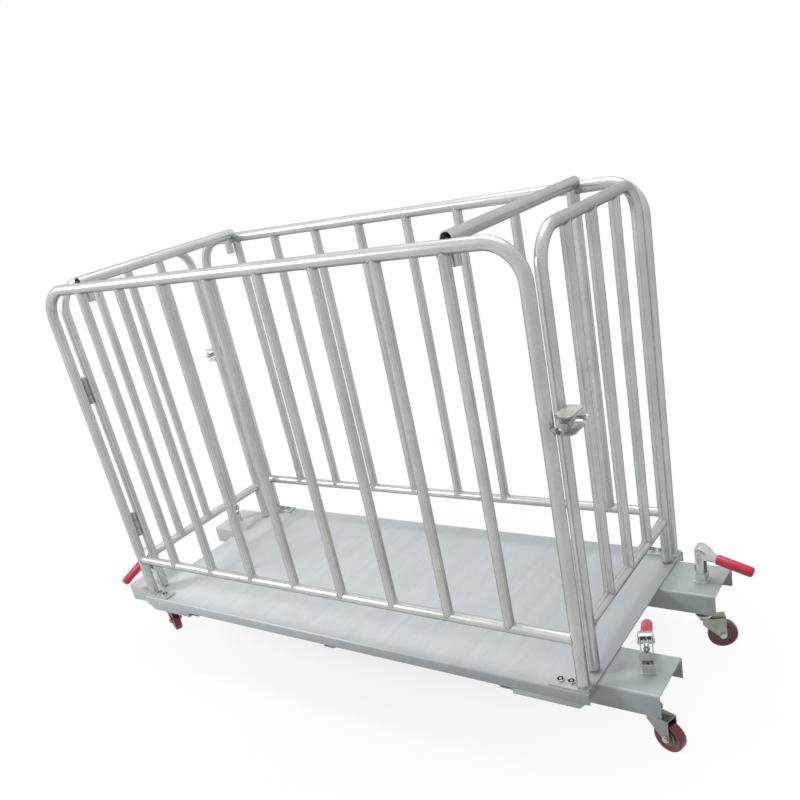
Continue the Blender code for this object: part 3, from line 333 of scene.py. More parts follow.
def zinc_finish(name, first, second, metallic, roughness, crystal=0.12, line=0.1, bump=0.00004, edge=0.55):
    """Zinc over steel: soft patches, crystals and the lines of the drawn or rolled metal, with painted shade along its
    outlines from its edge tint.
    """
    material, tree, shader, place, lay = finish_tree(name, metallic, 0.35, edge)
    clouds = effect(tree, CLOUDS, vector=place, scale=7.0, spread=0.16, first=first, second=second)
    crystals = effect(tree, CRYSTALS, vector=place, scale=110.0)["Mask"]
    lines = effect(tree, DRAWN_LINES, vector=lay, across=200.0, along=3.0)["Mask"]
    speckle = effect(tree, SPECKLE, vector=place, scale=900.0)["Mask"]
    shade = maths(tree, "ADD", maths(tree, "MULTIPLY", crystals, crystal), maths(tree, "MULTIPLY", lines, line))
    shade = maths(tree, "SUBTRACT", 1.0 + (crystal + line) / 2, shade)
    colour = put(tree, "ShaderNodeVectorMath", {0: clouds["Colour"], "Scale": shade}, operation="SCALE")
    tree.links.new(colour.outputs[0], shader["Base Color"])
    grain = maths(tree, "ADD", maths(tree, "MULTIPLY", lines, 0.5), maths(tree, "MULTIPLY", speckle, 0.5))
    tree.links.new(ramped(tree, grain, 0.0, 1.0, roughness - 0.07, roughness + 0.07), shader["Roughness"])
    tree.links.new(bumped(tree, grain, bump), shader["Normal"])
    return material


def paint_finish(name, first, second, stretch, roughness, streak=0.16, metallic=0.1):
    """Silver paint on sheet: patches, wiped streaks and a fine grain."""
    material, tree, shader, place, lay = finish_tree(name, metallic, 0.4)
    wiped = put(tree, "ShaderNodeMapping", {"Vector": place, "Scale": stretch}).outputs[0]
    clouds = effect(tree, CLOUDS, vector=wiped, scale=4.0, spread=0.14, first=first, second=second)
    patches = effect(tree, CLOUDS, vector=place, scale=2.2, spread=0.12)["Mask"]
    fine = put(tree, "ShaderNodeMapping", {"Vector": wiped, "Scale": (9.0, 9.0, 9.0)}).outputs[0]
    streaks = effect(tree, CLOUDS, vector=fine, scale=3.0, spread=0.2)["Mask"]
    speckle = effect(tree, SPECKLE, vector=place, scale=380.0)["Mask"]
    shade = maths(tree, "ADD", maths(tree, "MULTIPLY", streaks, streak / 2), maths(tree, "MULTIPLY", patches, streak / 2))
    shade = maths(tree, "ADD", shade, maths(tree, "MULTIPLY", speckle, 0.05))
    shade = maths(tree, "SUBTRACT", 1.025 + streak / 2, shade)
    colour = put(tree, "ShaderNodeVectorMath", {0: clouds["Colour"], "Scale": shade}, operation="SCALE")
    tree.links.new(colour.outputs[0], shader["Base Color"])
    tree.links.new(ramped(tree, streaks, 0.0, 1.0, roughness - 0.08, roughness + 0.08), shader["Roughness"])
    tree.links.new(bumped(tree, speckle, 0.00012), shader["Normal"])
    return material


def moulded_finish(name, first, second, roughness, scale, bump, coat=0.0):
    """Dipped or moulded plastic with soft patches and a fine grain."""
    material, tree, shader, place, lay = finish_tree(name, 0.0)
    clouds = effect(tree, CLOUDS, vector=place, scale=scale, spread=0.2, first=first, second=second)
    speckle = effect(tree, SPECKLE, vector=place, scale=700.0)["Mask"]
    tree.links.new(clouds["Colour"], shader["Base Color"])
    tree.links.new(ramped(tree, speckle, 0.0, 1.0, roughness - 0.06, roughness + 0.06), shader["Roughness"])
    tree.links.new(bumped(tree, speckle, bump), shader["Normal"])
    shader["Coat Weight"].default_value = coat
    shader["Coat Roughness"].default_value = 0.15
    return material


# The tubes' edge of 0.12 paints strong shade along their outlines; the other zinc finishes take 0.55, a lighter painted
# shade.
TUBE_ZINC = zinc_finish("galvanised_tube", tone(214, 218, 215), tone(200, 202, 198), 0.55, 0.27, 0.05, 0.085, edge=0.12)
WELD_ZINC = zinc_finish("weld_zinc", tone(205, 207, 204), tone(176, 178, 173), 0.35, 0.42, 0.16, 0.05, 0.0001)
SHEET_ZINC = zinc_finish("galvanised_plate", tone(206, 211, 211), tone(193, 199, 198), 0.4, 0.36, 0.06, 0.06)
PLATED_ZINC = zinc_finish("plated_zinc", tone(224, 233, 231), tone(208, 217, 215), 0.25, 0.34, 0.04, 0.04, 0.00002)
LATCH_ZINC = zinc_finish("latch_zinc", tone(232, 232, 227), tone(216, 215, 210), 0.15, 0.36, 0.04, 0.04, 0.00002)
BRIGHT_ZINC = zinc_finish("bright_zinc", tone(212, 216, 215), tone(194, 199, 197), 0.7, 0.3, 0.05, 0.05, 0.00002)
FORK_ZINC = zinc_finish("pressed_zinc", tone(170, 177, 168), tone(148, 155, 145), 0.7, 0.28, 0.05, 0.05, 0.00002)
CELL_METAL = zinc_finish("cell_metal", tone(184, 187, 190), tone(170, 173, 176), 0.7, 0.35, 0.03, 0.1, 0.00002)
DECK_PAINT = paint_finish("deck_paint", tone(207, 213, 215), tone(199, 205, 208), (6.0, 0.8, 6.0), 0.44, 0.08)
BASE_PAINT = paint_finish("base_paint", tone(203, 214, 216), tone(195, 205, 207), (1.2, 1.8, 1.8), 0.34, 0.05)
GRIP_RED = moulded_finish("dipped_grip", tone(240, 58, 96), tone(226, 44, 78), 0.38, 40.0, 0.00004, 0.25)
TREAD_RED = moulded_finish("wheel_tread", tone(150, 22, 46), tone(118, 12, 30), 0.24, 30.0, 0.00003, 0.3)
HUB_GREY = moulded_finish("wheel_hub", tone(176, 166, 152), tone(150, 142, 132), 0.36, 50.0, 0.00004)


# ---- Shapes

class Work:
    """The growing mesh of one piece. Lay is each point's place round and along its own metal."""

    def __init__(self):
        self.verts = []
        self.faces = []
        self.lays = []
        self.finishes = []
        self.materials = []

    def add(self, shape, material, place=Matrix.Identity(4)):
        verts, faces, lays = shape
        first = len(self.verts)
        self.verts += [place @ Vector(vert) for vert in verts]
        turned_over = place.determinant() < 0
        for face in faces:
            numbers = [first + number for number in face]
            self.faces.append(numbers[::-1] if turned_over else numbers)
        self.lays += lays
        self.finishes += [self.number_of(material)] * len(faces)
        return self

    def number_of(self, material):
        if material not in self.materials:
            self.materials.append(material)
        return self.materials.index(material)

    def cast(self, name, place=Matrix.Identity(4)):
        """A piece of this shape, moved by place, with its place in its mesh."""
        mesh = bpy.data.meshes.new(name)
        flip = place.determinant() < 0
        mesh.from_pydata([place @ vert for vert in self.verts], [],
                         [face[::-1] for face in self.faces] if flip else self.faces)
        for material in self.materials:
            mesh.materials.append(material)
        mesh.polygons.foreach_set("material_index", self.finishes)
        lay = mesh.attributes.new("lay", "FLOAT_VECTOR", "POINT")
        lay.data.foreach_set("vector", np.array(self.lays, np.float32).ravel())
        mesh.shade_smooth()
        mesh.set_sharp_from_angle(angle=math.radians(32))
        mesh.update()
        obj = bpy.data.objects.new(name, mesh)
        bpy.context.scene.collection.objects.link(obj)
        return obj


def dressed(obj, body, slot, *nodes):
    """Says what a finished piece rides on and hides the solids it stands for. Slot, the finish's name, is not used."""
    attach(obj, body)
    if nodes:
        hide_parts(*nodes)
    return obj


def plain(mesh, merge=True):
    """A mesh as a shape, with its points merged and its faces turned outwards."""
    bm = bmesh.new()
    bm.from_mesh(mesh)
    if merge:
        bmesh.ops.remove_doubles(bm, verts=bm.verts, dist=1e-6)
        bmesh.ops.recalc_face_normals(bm, faces=bm.faces)
    verts = [tuple(vert.co) for vert in bm.verts]
    faces = [[vert.index for vert in face.verts] for face in bm.faces]
    bm.free()
    return verts, faces, list(verts)


def converted(obj):
    """The object's mesh after its modifiers. The object itself goes."""
    bpy.context.view_layer.update()
    graph = bpy.context.evaluated_depsgraph_get()
    mesh = bpy.data.meshes.new_from_object(obj.evaluated_get(graph), depsgraph=graph)
    mesh.transform(obj.matrix_world)
    bpy.data.objects.remove(obj, do_unlink=True)
    return mesh


def eased(shape, width, segments=2, limit=35):
    """A shape with its sharp edges rounded."""
    verts, faces, lays = shape
    mesh = bpy.data.meshes.new("eased")
    mesh.from_pydata(verts, [], faces)
    obj = bpy.data.objects.new("eased", mesh)
    bpy.context.scene.collection.objects.link(obj)
    bevel = obj.modifiers.new("Bevel", "BEVEL")
    bevel.width = width
    bevel.segments = segments
    bevel.limit_method = "ANGLE"
    bevel.angle_limit = math.radians(limit)
    bevel.miter_outer = "MITER_ARC"
    return plain(converted(obj))


def swept(path, radius, wall=0.0, sides=SIDES):
    """A round tube along a path: a closed rod, or a pipe with open ends where a wall is given."""
    points = [Vector(point) for point in path]
    steps = [(after - before).normalized() for before, after in zip(points, points[1:])]
    headings = [steps[0]] + [(one + two).normalized() for one, two in zip(steps, steps[1:])] + [steps[-1]]
    shells = [radius, radius - wall] if wall else [radius]
    shift = 3.7 * points[0].x + 5.3 * points[0].y + 2.9 * points[0].z
    side = headings[0].orthogonal().normalized()
    verts, lays, faces = [], [], []
    along = 0.0
    for index, (point, heading) in enumerate(zip(points, headings)):
        if index:
            side.rotate(headings[index - 1].rotation_difference(heading))
            along += (point - points[index - 1]).length
        across = heading.cross(side)
        for shell in shells:
            for number in range(sides):
                angle = 2 * math.pi * number / sides
                spoke = math.cos(angle) * side + math.sin(angle) * across
                verts.append(tuple(point + shell * spoke))
                lays.append((math.cos(angle) * radius + shift, math.sin(angle) * radius, along))

    def ring(index, shell):
        start = (index * len(shells) + shell) * sides
        return list(range(start, start + sides))

    def skin(first, second, inward):
        for number in range(sides):
            after = (number + 1) % sides
            face = [first[number], first[after], second[after], second[number]]
            faces.append(face[::-1] if inward else face)

    last = len(points) - 1
    for index in range(last):
        skin(ring(index, 0), ring(index + 1, 0), False)
        if wall:
            skin(ring(index, 1), ring(index + 1, 1), True)
    if wall:
        skin(ring(0, 0), ring(0, 1), True)
        skin(ring(last, 0), ring(last, 1), False)
    else:
        faces.append(ring(0, 0)[::-1])
        faces.append(ring(last, 0))
    return verts, faces, lays


def rod(start, end, radius, sides=SIDES, ease=0.0):
    """A straight rod, with its ends rounded off by ease."""
    start = Vector(start)
    end = Vector(end)
    if not ease:
        return swept([start, end], radius, sides=sides)
    length = (end - start).length
    turn = Matrix.Translation(start) @ (end - start).to_track_quat("Z", "Y").to_matrix().to_4x4()
    profile = [(0.0, 0.0), (radius - ease, 0.0), (radius - ease * 0.3, ease * 0.3), (radius, ease),
               (radius, length - ease), (radius - ease * 0.3, length - ease * 0.3), (radius - ease, length), (0.0, length)]
    return moved(turned(profile, sides), turn)


def moved(shape, place):
    verts, faces, lays = shape
    return [tuple(place @ Vector(vert)) for vert in verts], faces, lays


def turned(profile, steps=SIDES, closed=False):
    """A shape turned about Z. The profile is (radius, height), up its outer side."""
    verts, lays, rings = [], [], []
    for radius, height in profile:
        if radius < 1e-7:
            rings.append([len(verts)] * steps)
            verts.append((0.0, 0.0, height))
            lays.append((0.0, 0.0, height))
            continue
        rings.append(list(range(len(verts), len(verts) + steps)))
        for number in range(steps):
            angle = 2 * math.pi * number / steps
            verts.append((radius * math.cos(angle), radius * math.sin(angle), height))
            lays.append(verts[-1])
    faces = []
    pairs = list(zip(rings, rings[1:]))
    if closed:
        pairs.append((rings[-1], rings[0]))
    for below, above in pairs:
        for number in range(steps):
            after = (number + 1) % steps
            face = [below[number], below[after], above[after], above[number]]
            face = [vert for index, vert in enumerate(face) if vert not in face[:index]]
            if len(face) > 2:
                faces.append(face)
    return verts, faces, lays


def arc(centre, radius, start, end, steps):
    """Points on an arc, with its angles in degrees."""
    points = []
    for index in range(steps + 1):
        angle = math.radians(start + (end - start) * index / steps)
        points.append((centre[0] + radius * math.cos(angle), centre[1] + radius * math.sin(angle)))
    return points


def circle(centre, radius, steps=32):
    return arc(centre, radius, 0, 360, steps)[:-1]


def rounded(low, high, radius, steps=5):
    """A rectangle with round corners."""
    (left, foot), (right, top) = low, high
    return (arc((right - radius, foot + radius), radius, -90, 0, steps)
            + arc((right - radius, top - radius), radius, 0, 90, steps)
            + arc((left + radius, top - radius), radius, 90, 180, steps)
            + arc((left + radius, foot + radius), radius, 180, 270, steps))


def sheet(outlines, thickness, place=Matrix.Identity(4), ease=0.0006):
    """A flat plate with rounded edges. The first outline is its edge and the others are holes."""
    curve = bpy.data.curves.new("sheet", "CURVE")
    curve.dimensions = "2D"
    curve.fill_mode = "BOTH"
    curve.extrude = thickness / 2 - ease
    curve.bevel_depth = ease
    curve.bevel_resolution = 1
    curve.offset = -ease
    for outline in outlines:
        spline = curve.splines.new("POLY")
        spline.points.add(len(outline) - 1)
        for point, (x, y) in zip(spline.points, outline):
            point.co = (x, y, 0.0, 1.0)
        spline.use_cyclic_u = True
    obj = bpy.data.objects.new("sheet", curve)
    bpy.context.scene.collection.objects.link(obj)
    mesh = converted(obj)
    mesh.transform(place)
    return plain(mesh)


def standing(outlines, low_y, high_y, place=Matrix.Identity(4), ease=0.0006):
    """A plate whose outline is in the XZ plane, between two values of Y."""
    upright = Matrix.Translation((0.0, (low_y + high_y) / 2, 0.0)) @ OVER
    return sheet(outlines, high_y - low_y, place @ upright, ease)


def block(low, high, ease=0.0008):
    """A squared block with rounded edges."""
    bm = bmesh.new()
    low = Vector(low)
    high = Vector(high)
    size = Matrix.Diagonal((*(high - low), 1.0))
    bmesh.ops.create_cube(bm, size=1.0, matrix=Matrix.Translation((low + high) / 2) @ size)
    mesh = bpy.data.meshes.new("block")
    bm.to_mesh(mesh)
    bm.free()
    return eased(plain(mesh), ease)


def section(outer, inner, start, end, closed, ease=0.0005):
    """A folded sheet or box tube: its outer and inner outlines in the YZ plane, run from start to end in X."""
    count = len(outer)
    verts = [(x, y, z) for x in (start, end) for outline in (outer, inner) for y, z in outline]
    corner = {(end_number, shell, number): (end_number * 2 + shell) * count + number
              for end_number in (0, 1) for shell in (0, 1) for number in range(count)}
    faces = []
    spans = [(number, (number + 1) % count) for number in range(count if closed else count - 1)]
    for number, after in spans:
        for shell in (0, 1):
            faces.append([corner[0, shell, number], corner[0, shell, after], corner[1, shell, after], corner[1, shell, number]])
        for side in (0, 1):
            faces.append([corner[side, 0, number], corner[side, 0, after], corner[side, 1, after], corner[side, 1, number]])
    if not closed:
        for number in (0, count - 1):
            faces.append([corner[0, 0, number], corner[0, 1, number], corner[1, 1, number], corner[1, 0, number]])
    mesh = bpy.data.meshes.new("section")
    mesh.from_pydata(verts, [], faces)
    return eased(plain(mesh), ease)


def channel(centre_y, half_width, top, depth, thickness, start, end, steps=6):
    """A sheet folded down along both sides."""
    outlines = []
    for inset in (0.0, thickness):
        bend = max(FOLD_RADIUS - inset, 0.0005)
        half = half_width - inset
        high = top - inset
        left = arc((centre_y - half + bend, high - bend), bend, 180, 90, steps)
        right = arc((centre_y + half - bend, high - bend), bend, 90, 0, steps)
        outlines.append([(centre_y - half, top - depth)] + left + right + [(centre_y + half, top - depth)])
    return section(outlines[0], outlines[1], start, end, False)


def box_bar(centre_y, top, start, end):
    """A box-section bar along X."""
    half = MEMBER_WIDTH / 2
    outer = rounded((centre_y - half, top - MEMBER_WIDTH), (centre_y + half, top), 0.005, 4)
    inner = rounded((centre_y - half + MEMBER_WALL, top - MEMBER_WIDTH + MEMBER_WALL),
                    (centre_y + half - MEMBER_WALL, top - MEMBER_WALL), 0.002, 4)
    return section(outer, inner, start, end, True)


# ---- Things that repeat

def grown(tree, points, values, turns=None):
    """The mesh that a tree makes from these points and values."""
    mesh = bpy.data.meshes.new("points")
    mesh.from_pydata(points, [], [])
    if turns:
        attribute = mesh.attributes.new("turn", "FLOAT_VECTOR", "POINT")
        attribute.data.foreach_set("vector", np.array(turns, np.float32).ravel())
    obj = bpy.data.objects.new("growing", mesh)
    bpy.context.scene.collection.objects.link(obj)
    modifier = obj.modifiers.new("Grow", "NODES")
    modifier.node_group = tree
    for item in tree.interface.items_tree:
        if item.in_out == "INPUT" and item.name in values:
            modifier[item.identifier] = values[item.name]
    return plain(converted(obj), merge=False)


GEOMETRY = ("NodeSocketGeometry", None)
MATERIAL = ("NodeSocketMaterial", None)
WHOLE = "NodeSocketInt"


def set_out(tree, points, piece, material, result):
    """Puts a piece on every point, turned as the point says, and makes it real."""
    turn = put(tree, "GeometryNodeInputNamedAttribute", {"Name": "turn"}, data_type="FLOAT_VECTOR")
    placed = put(tree, "GeometryNodeInstanceOnPoints",
                 {"Points": points, "Instance": piece, "Rotation": turn.outputs["Attribute"]})
    real = put(tree, "GeometryNodeRealizeInstances", {"Geometry": placed.outputs[0]})
    coated = put(tree, "GeometryNodeSetMaterial", {"Geometry": real.outputs[0], "Material": material})
    tree.links.new(coated.outputs[0], result)


def make_bar_row():
    """Upright bars in a row, from a first place by even steps."""
    tree, given, result = tree_with(
        "bar_row", "GeometryNodeTree",
        {"Geometry": GEOMETRY, "First": (VECTOR, None), "Step": (VECTOR, None), "Count": (WHOLE, 8),
         "Radius": (FLOAT, 0.0165), "Height": (FLOAT, 1.0), "Material": MATERIAL},
        {"Geometry": "NodeSocketGeometry"})
    line = put(tree, "GeometryNodeMeshLine",
               {"Count": given["Count"], "Start Location": given["First"], "Offset": given["Step"]}, mode="OFFSET")
    bar = put(tree, "GeometryNodeMeshCylinder",
              {"Vertices": SIDES, "Radius": given["Radius"], "Depth": given["Height"]})
    set_out(tree, line.outputs[0], bar.outputs[0], given["Material"], result["Geometry"])
    return tree


def make_weld_beads():
    """A rippled bead round each point, sunk to follow the tube that it is laid on."""
    tree, given, result = tree_with(
        "weld_beads", "GeometryNodeTree",
        {"Geometry": GEOMETRY, "Ring": (FLOAT, 0.017), "Saddle": (FLOAT, 0.019), "Bead": (FLOAT, 0.003),
         "Ripples": (FLOAT, 22.0), "Unevenness": (FLOAT, 0.18), "Material": MATERIAL},
        {"Geometry": "NodeSocketGeometry"})
    ring = put(tree, "GeometryNodeCurvePrimitiveCircle", {"Resolution": 64, "Radius": given["Ring"]})
    place = put(tree, "ShaderNodeSeparateXYZ", {0: put(tree, "GeometryNodeInputPosition").outputs[0]})
    side = maths(tree, "MULTIPLY", place.outputs[1], place.outputs[1])
    rise = maths(tree, "SUBTRACT", maths(tree, "MULTIPLY", given["Saddle"], given["Saddle"]), side)
    rise = maths(tree, "SQRT", maths(tree, "MAXIMUM", rise, 0.0))
    lift = put(tree, "ShaderNodeCombineXYZ", {2: rise})
    saddle = put(tree, "GeometryNodeSetPosition", {"Geometry": ring.outputs[0], "Offset": lift.outputs[0]})
    way = put(tree, "GeometryNodeSplineParameter").outputs["Factor"]
    wave = maths(tree, "SINE", maths(tree, "MULTIPLY", maths(tree, "MULTIPLY", way, given["Ripples"]), 2 * math.pi))
    slow = maths(tree, "SINE", maths(tree, "MULTIPLY", way, 6 * math.pi))
    uneven = maths(tree, "MULTIPLY", maths(tree, "ADD", wave, slow), given["Unevenness"])
    size = put(tree, "GeometryNodeSetCurveRadius",
               {"Curve": saddle.outputs[0], "Radius": maths(tree, "ADD", uneven, 1.0)})
    profile = put(tree, "GeometryNodeCurvePrimitiveCircle", {"Resolution": 8, "Radius": given["Bead"]})
    radius = put(tree, "GeometryNodeInputRadius").outputs[0]
    bead = put(tree, "GeometryNodeCurveToMesh",
               {"Curve": size.outputs[0], "Profile Curve": profile.outputs[0], "Scale": radius})
    set_out(tree, given["Geometry"], bead.outputs[0], given["Material"], result["Geometry"])
    return tree


def make_hex_fixings():
    """A hexagon head or nut on a washer at each point, with its corners chamfered."""
    tree, given, result = tree_with(
        "hex_fixings", "GeometryNodeTree",
        {"Geometry": GEOMETRY, "Corner": (FLOAT, 0.012), "Height": (FLOAT, 0.0075), "Washer": (FLOAT, 0.0135),
         "Washer Height": (FLOAT, 0.0015), "Shank": (FLOAT, 0.006), "Shank Height": (FLOAT, 0.002), "Material": MATERIAL},
        {"Geometry": "NodeSocketGeometry"})

    def lifted(piece, height, below):
        rise = maths(tree, "ADD", maths(tree, "MULTIPLY", height, 0.5), below)
        offset = put(tree, "ShaderNodeCombineXYZ", {2: rise}).outputs[0]
        return put(tree, "GeometryNodeTransform", {"Geometry": piece, "Translation": offset}).outputs[0]

    head = put(tree, "GeometryNodeMeshCylinder", {"Vertices": 6, "Radius": given["Corner"], "Depth": given["Height"]})
    crown_foot = maths(tree, "ADD", maths(tree, "MULTIPLY", given["Corner"], 0.84), maths(tree, "MULTIPLY", given["Height"], 1.7))
    crown = put(tree, "GeometryNodeMeshCone",
                {"Vertices": 30, "Radius Top": maths(tree, "MULTIPLY", given["Corner"], 0.82), "Radius Bottom": crown_foot,
                 "Depth": given["Height"]})
    crown = put(tree, "GeometryNodeTransform",
                {"Geometry": crown.outputs[0], "Translation": put(tree, "ShaderNodeCombineXYZ", {2: maths(tree, "MULTIPLY", given["Height"], -0.5)}).outputs[0]})
    chamfered = put(tree, "GeometryNodeMeshBoolean", operation="INTERSECT")
    tree.links.new(crown.outputs[0], chamfered.inputs["Mesh 2"])
    tree.links.new(head.outputs[0], chamfered.inputs["Mesh 2"])
    washer = put(tree, "GeometryNodeMeshCylinder",
                 {"Vertices": 28, "Radius": given["Washer"], "Depth": given["Washer Height"]})
    shank = put(tree, "GeometryNodeMeshCylinder", {"Vertices": 20, "Radius": given["Shank"], "Depth": given["Shank Height"]})
    parts = put(tree, "GeometryNodeJoinGeometry")
    seat = given["Washer Height"]
    tree.links.new(lifted(chamfered.outputs[0], given["Height"], seat), parts.inputs[0])
    tree.links.new(lifted(washer.outputs[0], given["Washer Height"], 0.0), parts.inputs[0])
    tree.links.new(lifted(shank.outputs[0], given["Shank Height"], maths(tree, "ADD", seat, given["Height"])), parts.inputs[0])
    set_out(tree, given["Geometry"], parts.outputs[0], given["Material"], result["Geometry"])
    return tree


def make_screw_thread():
    """A helical ridge round a shank."""
    tree, given, result = tree_with(
        "screw_thread", "GeometryNodeTree",
        {"Geometry": GEOMETRY, "Radius": (FLOAT, 0.008), "Length": (FLOAT, 0.03), "Turns": (FLOAT, 15.0),
         "Ridge": (FLOAT, 0.0009), "Material": MATERIAL},
        {"Geometry": "NodeSocketGeometry"})
    spiral = put(tree, "GeometryNodeCurveSpiral",
                 {"Resolution": 20, "Rotations": given["Turns"], "Start Radius": given["Radius"],
                  "End Radius": given["Radius"], "Height": given["Length"]})
    profile = put(tree, "GeometryNodeCurvePrimitiveCircle", {"Resolution": 4, "Radius": given["Ridge"]})
    ridge = put(tree, "GeometryNodeCurveToMesh",
                {"Curve": spiral.outputs[0], "Profile Curve": profile.outputs[0], "Fill Caps": True})
    set_out(tree, given["Geometry"], ridge.outputs[0], given["Material"], result["Geometry"])
    return tree


def make_ball_race():
    """A ring of balls."""
    tree, given, result = tree_with(
        "ball_race", "GeometryNodeTree",
        {"Geometry": GEOMETRY, "Ring": (FLOAT, 0.0195), "Ball": (FLOAT, 0.0025), "Count": (WHOLE, 22), "Material": MATERIAL},
        {"Geometry": "NodeSocketGeometry"})
    ring = put(tree, "GeometryNodeMeshCircle", {"Vertices": given["Count"], "Radius": given["Ring"]})
    ball = put(tree, "GeometryNodeMeshIcoSphere", {"Radius": given["Ball"], "Subdivisions": 2})
    set_out(tree, ring.outputs[0], ball.outputs[0], given["Material"], result["Geometry"])
    return tree


BAR_ROW = make_bar_row()
WELD_BEADS = make_weld_beads()
HEX_FIXINGS = make_hex_fixings()
SCREW_THREAD = make_screw_thread()
BALL_RACE = make_ball_race()


def welds(work, places, turns, ring, saddle, bead=0.0028, ripples=22.0):
    shape = grown(WELD_BEADS, places,
                  {"Ring": ring, "Saddle": saddle, "Bead": bead, "Ripples": ripples, "Material": WELD_ZINC}, turns)
    work.add(shape, WELD_ZINC)


def hoop_path(start, end, foot, top, radius):
    """A goalpost outline: up from start, round two bends and down at end."""
    left = arc((start + radius, top - radius), radius, 180, 90, 14)
    right = arc((end - radius, top - radius), radius, 90, 0, 14)
    return [(start, foot)] + left + right + [(end, foot)]


def knuckle(work, x, y, low, high, tube_y):
    """A hinge barrel with a lug to its tube."""
    work.add(rod((x, y, low), (x, y, high), KNUCKLE_RADIUS, 20, 0.0012), WELD_ZINC)
    ends = sorted((y, tube_y))
    half = LUG_THICKNESS / 2
    work.add(block((x - half, ends[0], low + 0.003), (x + half, ends[1], high - 0.003), 0.001), WELD_ZINC)
    for side in (-1, 1):
        work.add(rod((x + side * half, tube_y, low + 0.003), (x + side * half, tube_y, high - 0.003), 0.0025, 8), WELD_ZINC)


def knuckle_spans(height):
    half = KNUCKLE_HEIGHT / 2
    step = KNUCKLE_HEIGHT + GAP
    return [(height + index * step - half, height + index * step + half) for index in (-1, 0, 1)]


# ---- Deck and base

def make_deck():
    deck = Work()
    deck.add(channel(0.0, DECK_SIDE, DECK_TOP, SKIRT_DEPTH, DECK_SHEET, -DECK_HALF, DECK_HALF, 8), DECK_PAINT)
    dressed(deck.cast("deck_sheet"), "deck", "deck_paint", "deck_plate")


def make_underframe():
    work = Work()
    across = Matrix.Rotation(math.pi / 2, 4, "Z")
    for x in (-END_MEMBER_X, 0.0, END_MEMBER_X):
        work.add(box_bar(-x, SEAT_Z, -INSIDE_Y, INSIDE_Y), BASE_PAINT, across)
    bite = MEMBER_WIDTH / 2 - MEMBER_WALL / 2
    for y in (-LONG_MEMBER_Y, LONG_MEMBER_Y):
        for side in (-1, 1):
            ends = sorted((side * bite, side * (END_MEMBER_X - bite)))
            work.add(box_bar(y, SEAT_Z - 0.0005, ends[0], ends[1]), BASE_PAINT)
            for x in (side * (MEMBER_WIDTH / 2 + 0.0005), side * (END_MEMBER_X - MEMBER_WIDTH / 2 - 0.0005)):
                for edge in (-1, 1):
                    line = y + edge * MEMBER_WIDTH / 2
                    work.add(rod((x, line, SEAT_Z - MEMBER_WIDTH + 0.002), (x, line, SEAT_Z - 0.006), 0.003, 8, 0.001), BASE_PAINT)
                low = SEAT_Z - MEMBER_WIDTH
                work.add(rod((x, y - 0.022, low), (x, y + 0.022, low), 0.003, 8, 0.001), BASE_PAINT)
    dressed(work.cast("box_frame"), "deck", "base_paint", "deck_underframe")


def at_corners(work, name, slot, node):
    """A base piece made at the far right corner, at all four."""
    across = Matrix.Scale(-1, 4, (0, 1, 0))
    places = {"far_right": Matrix.Identity(4), "near_right": across,
              "near_left": HALF_TURN, "far_left": HALF_TURN @ across}
    for corner, place in places.items():
        dressed(work.cast(name + "_" + corner, place), "deck", slot, node + "_" + corner)


def make_outriggers():
    work = Work()
    web = SEAT_Z - OUTRIGGER_SHEET
    work.add(channel(OUTRIGGER_Y, OUTRIGGER_WIDTH / 2, SEAT_Z, OUTRIGGER_DEPTH, OUTRIGGER_SHEET, INNER_X, OUTRIGGER_REACH),
             BASE_PAINT)
    guide = [(0.0124, GUIDE_FOOT), (GUIDE_RADIUS - 0.0008, GUIDE_FOOT), (GUIDE_RADIUS, GUIDE_FOOT + 0.0008),
             (GUIDE_RADIUS, web), (0.0124, web)]
    stand = Matrix.Translation((CLAMP_X, CLAMP_Y, 0.0))
    work.add(turned(guide, closed=True), BASE_PAINT, stand)
    welds(work, [(CLAMP_X, CLAMP_Y, web - 0.5)], [(0.0, 0.0, 0.0)], GUIDE_RADIUS + 0.001, 0.5, 0.003)
    for y in (OUTRIGGER_Y - OUTRIGGER_WIDTH / 2, OUTRIGGER_Y + OUTRIGGER_WIDTH / 2):
        work.add(rod((INNER_X + 0.001, y, SEAT_Z - MEMBER_WIDTH), (INNER_X + 0.001, y, SEAT_Z - 0.01), 0.003, 8, 0.001), BASE_PAINT)
    at_corners(work, "channel_outrigger", "base_paint", "outrigger")


def refined(node, width=0.0007):
    """A copy of a node's solid with its flat faces made whole and its edges rounded."""
    bm = bmesh.new()
    bm.from_mesh(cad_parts[node].data)
    bmesh.ops.remove_doubles(bm, verts=bm.verts, dist=1e-6)
    bmesh.ops.recalc_face_normals(bm, faces=bm.faces)
    bmesh.ops.dissolve_limit(bm, angle_limit=math.radians(1), verts=bm.verts, edges=bm.edges)
    mesh = bpy.data.meshes.new(node)
    bm.to_mesh(mesh)
    bm.free()
    return eased(plain(mesh), width)


def make_housings():
    housing = Work()
    housing.add(refined("load_cell_housing_far_right"), BASE_PAINT)
    at_corners(housing, "cell_housing", "base_paint", "load_cell_housing")
    cell = Work()
    cell.add(refined("load_cell_far_right", 0.0005), CELL_METAL)
    at_corners(cell, "beam_cell", "cell_metal", "load_cell")


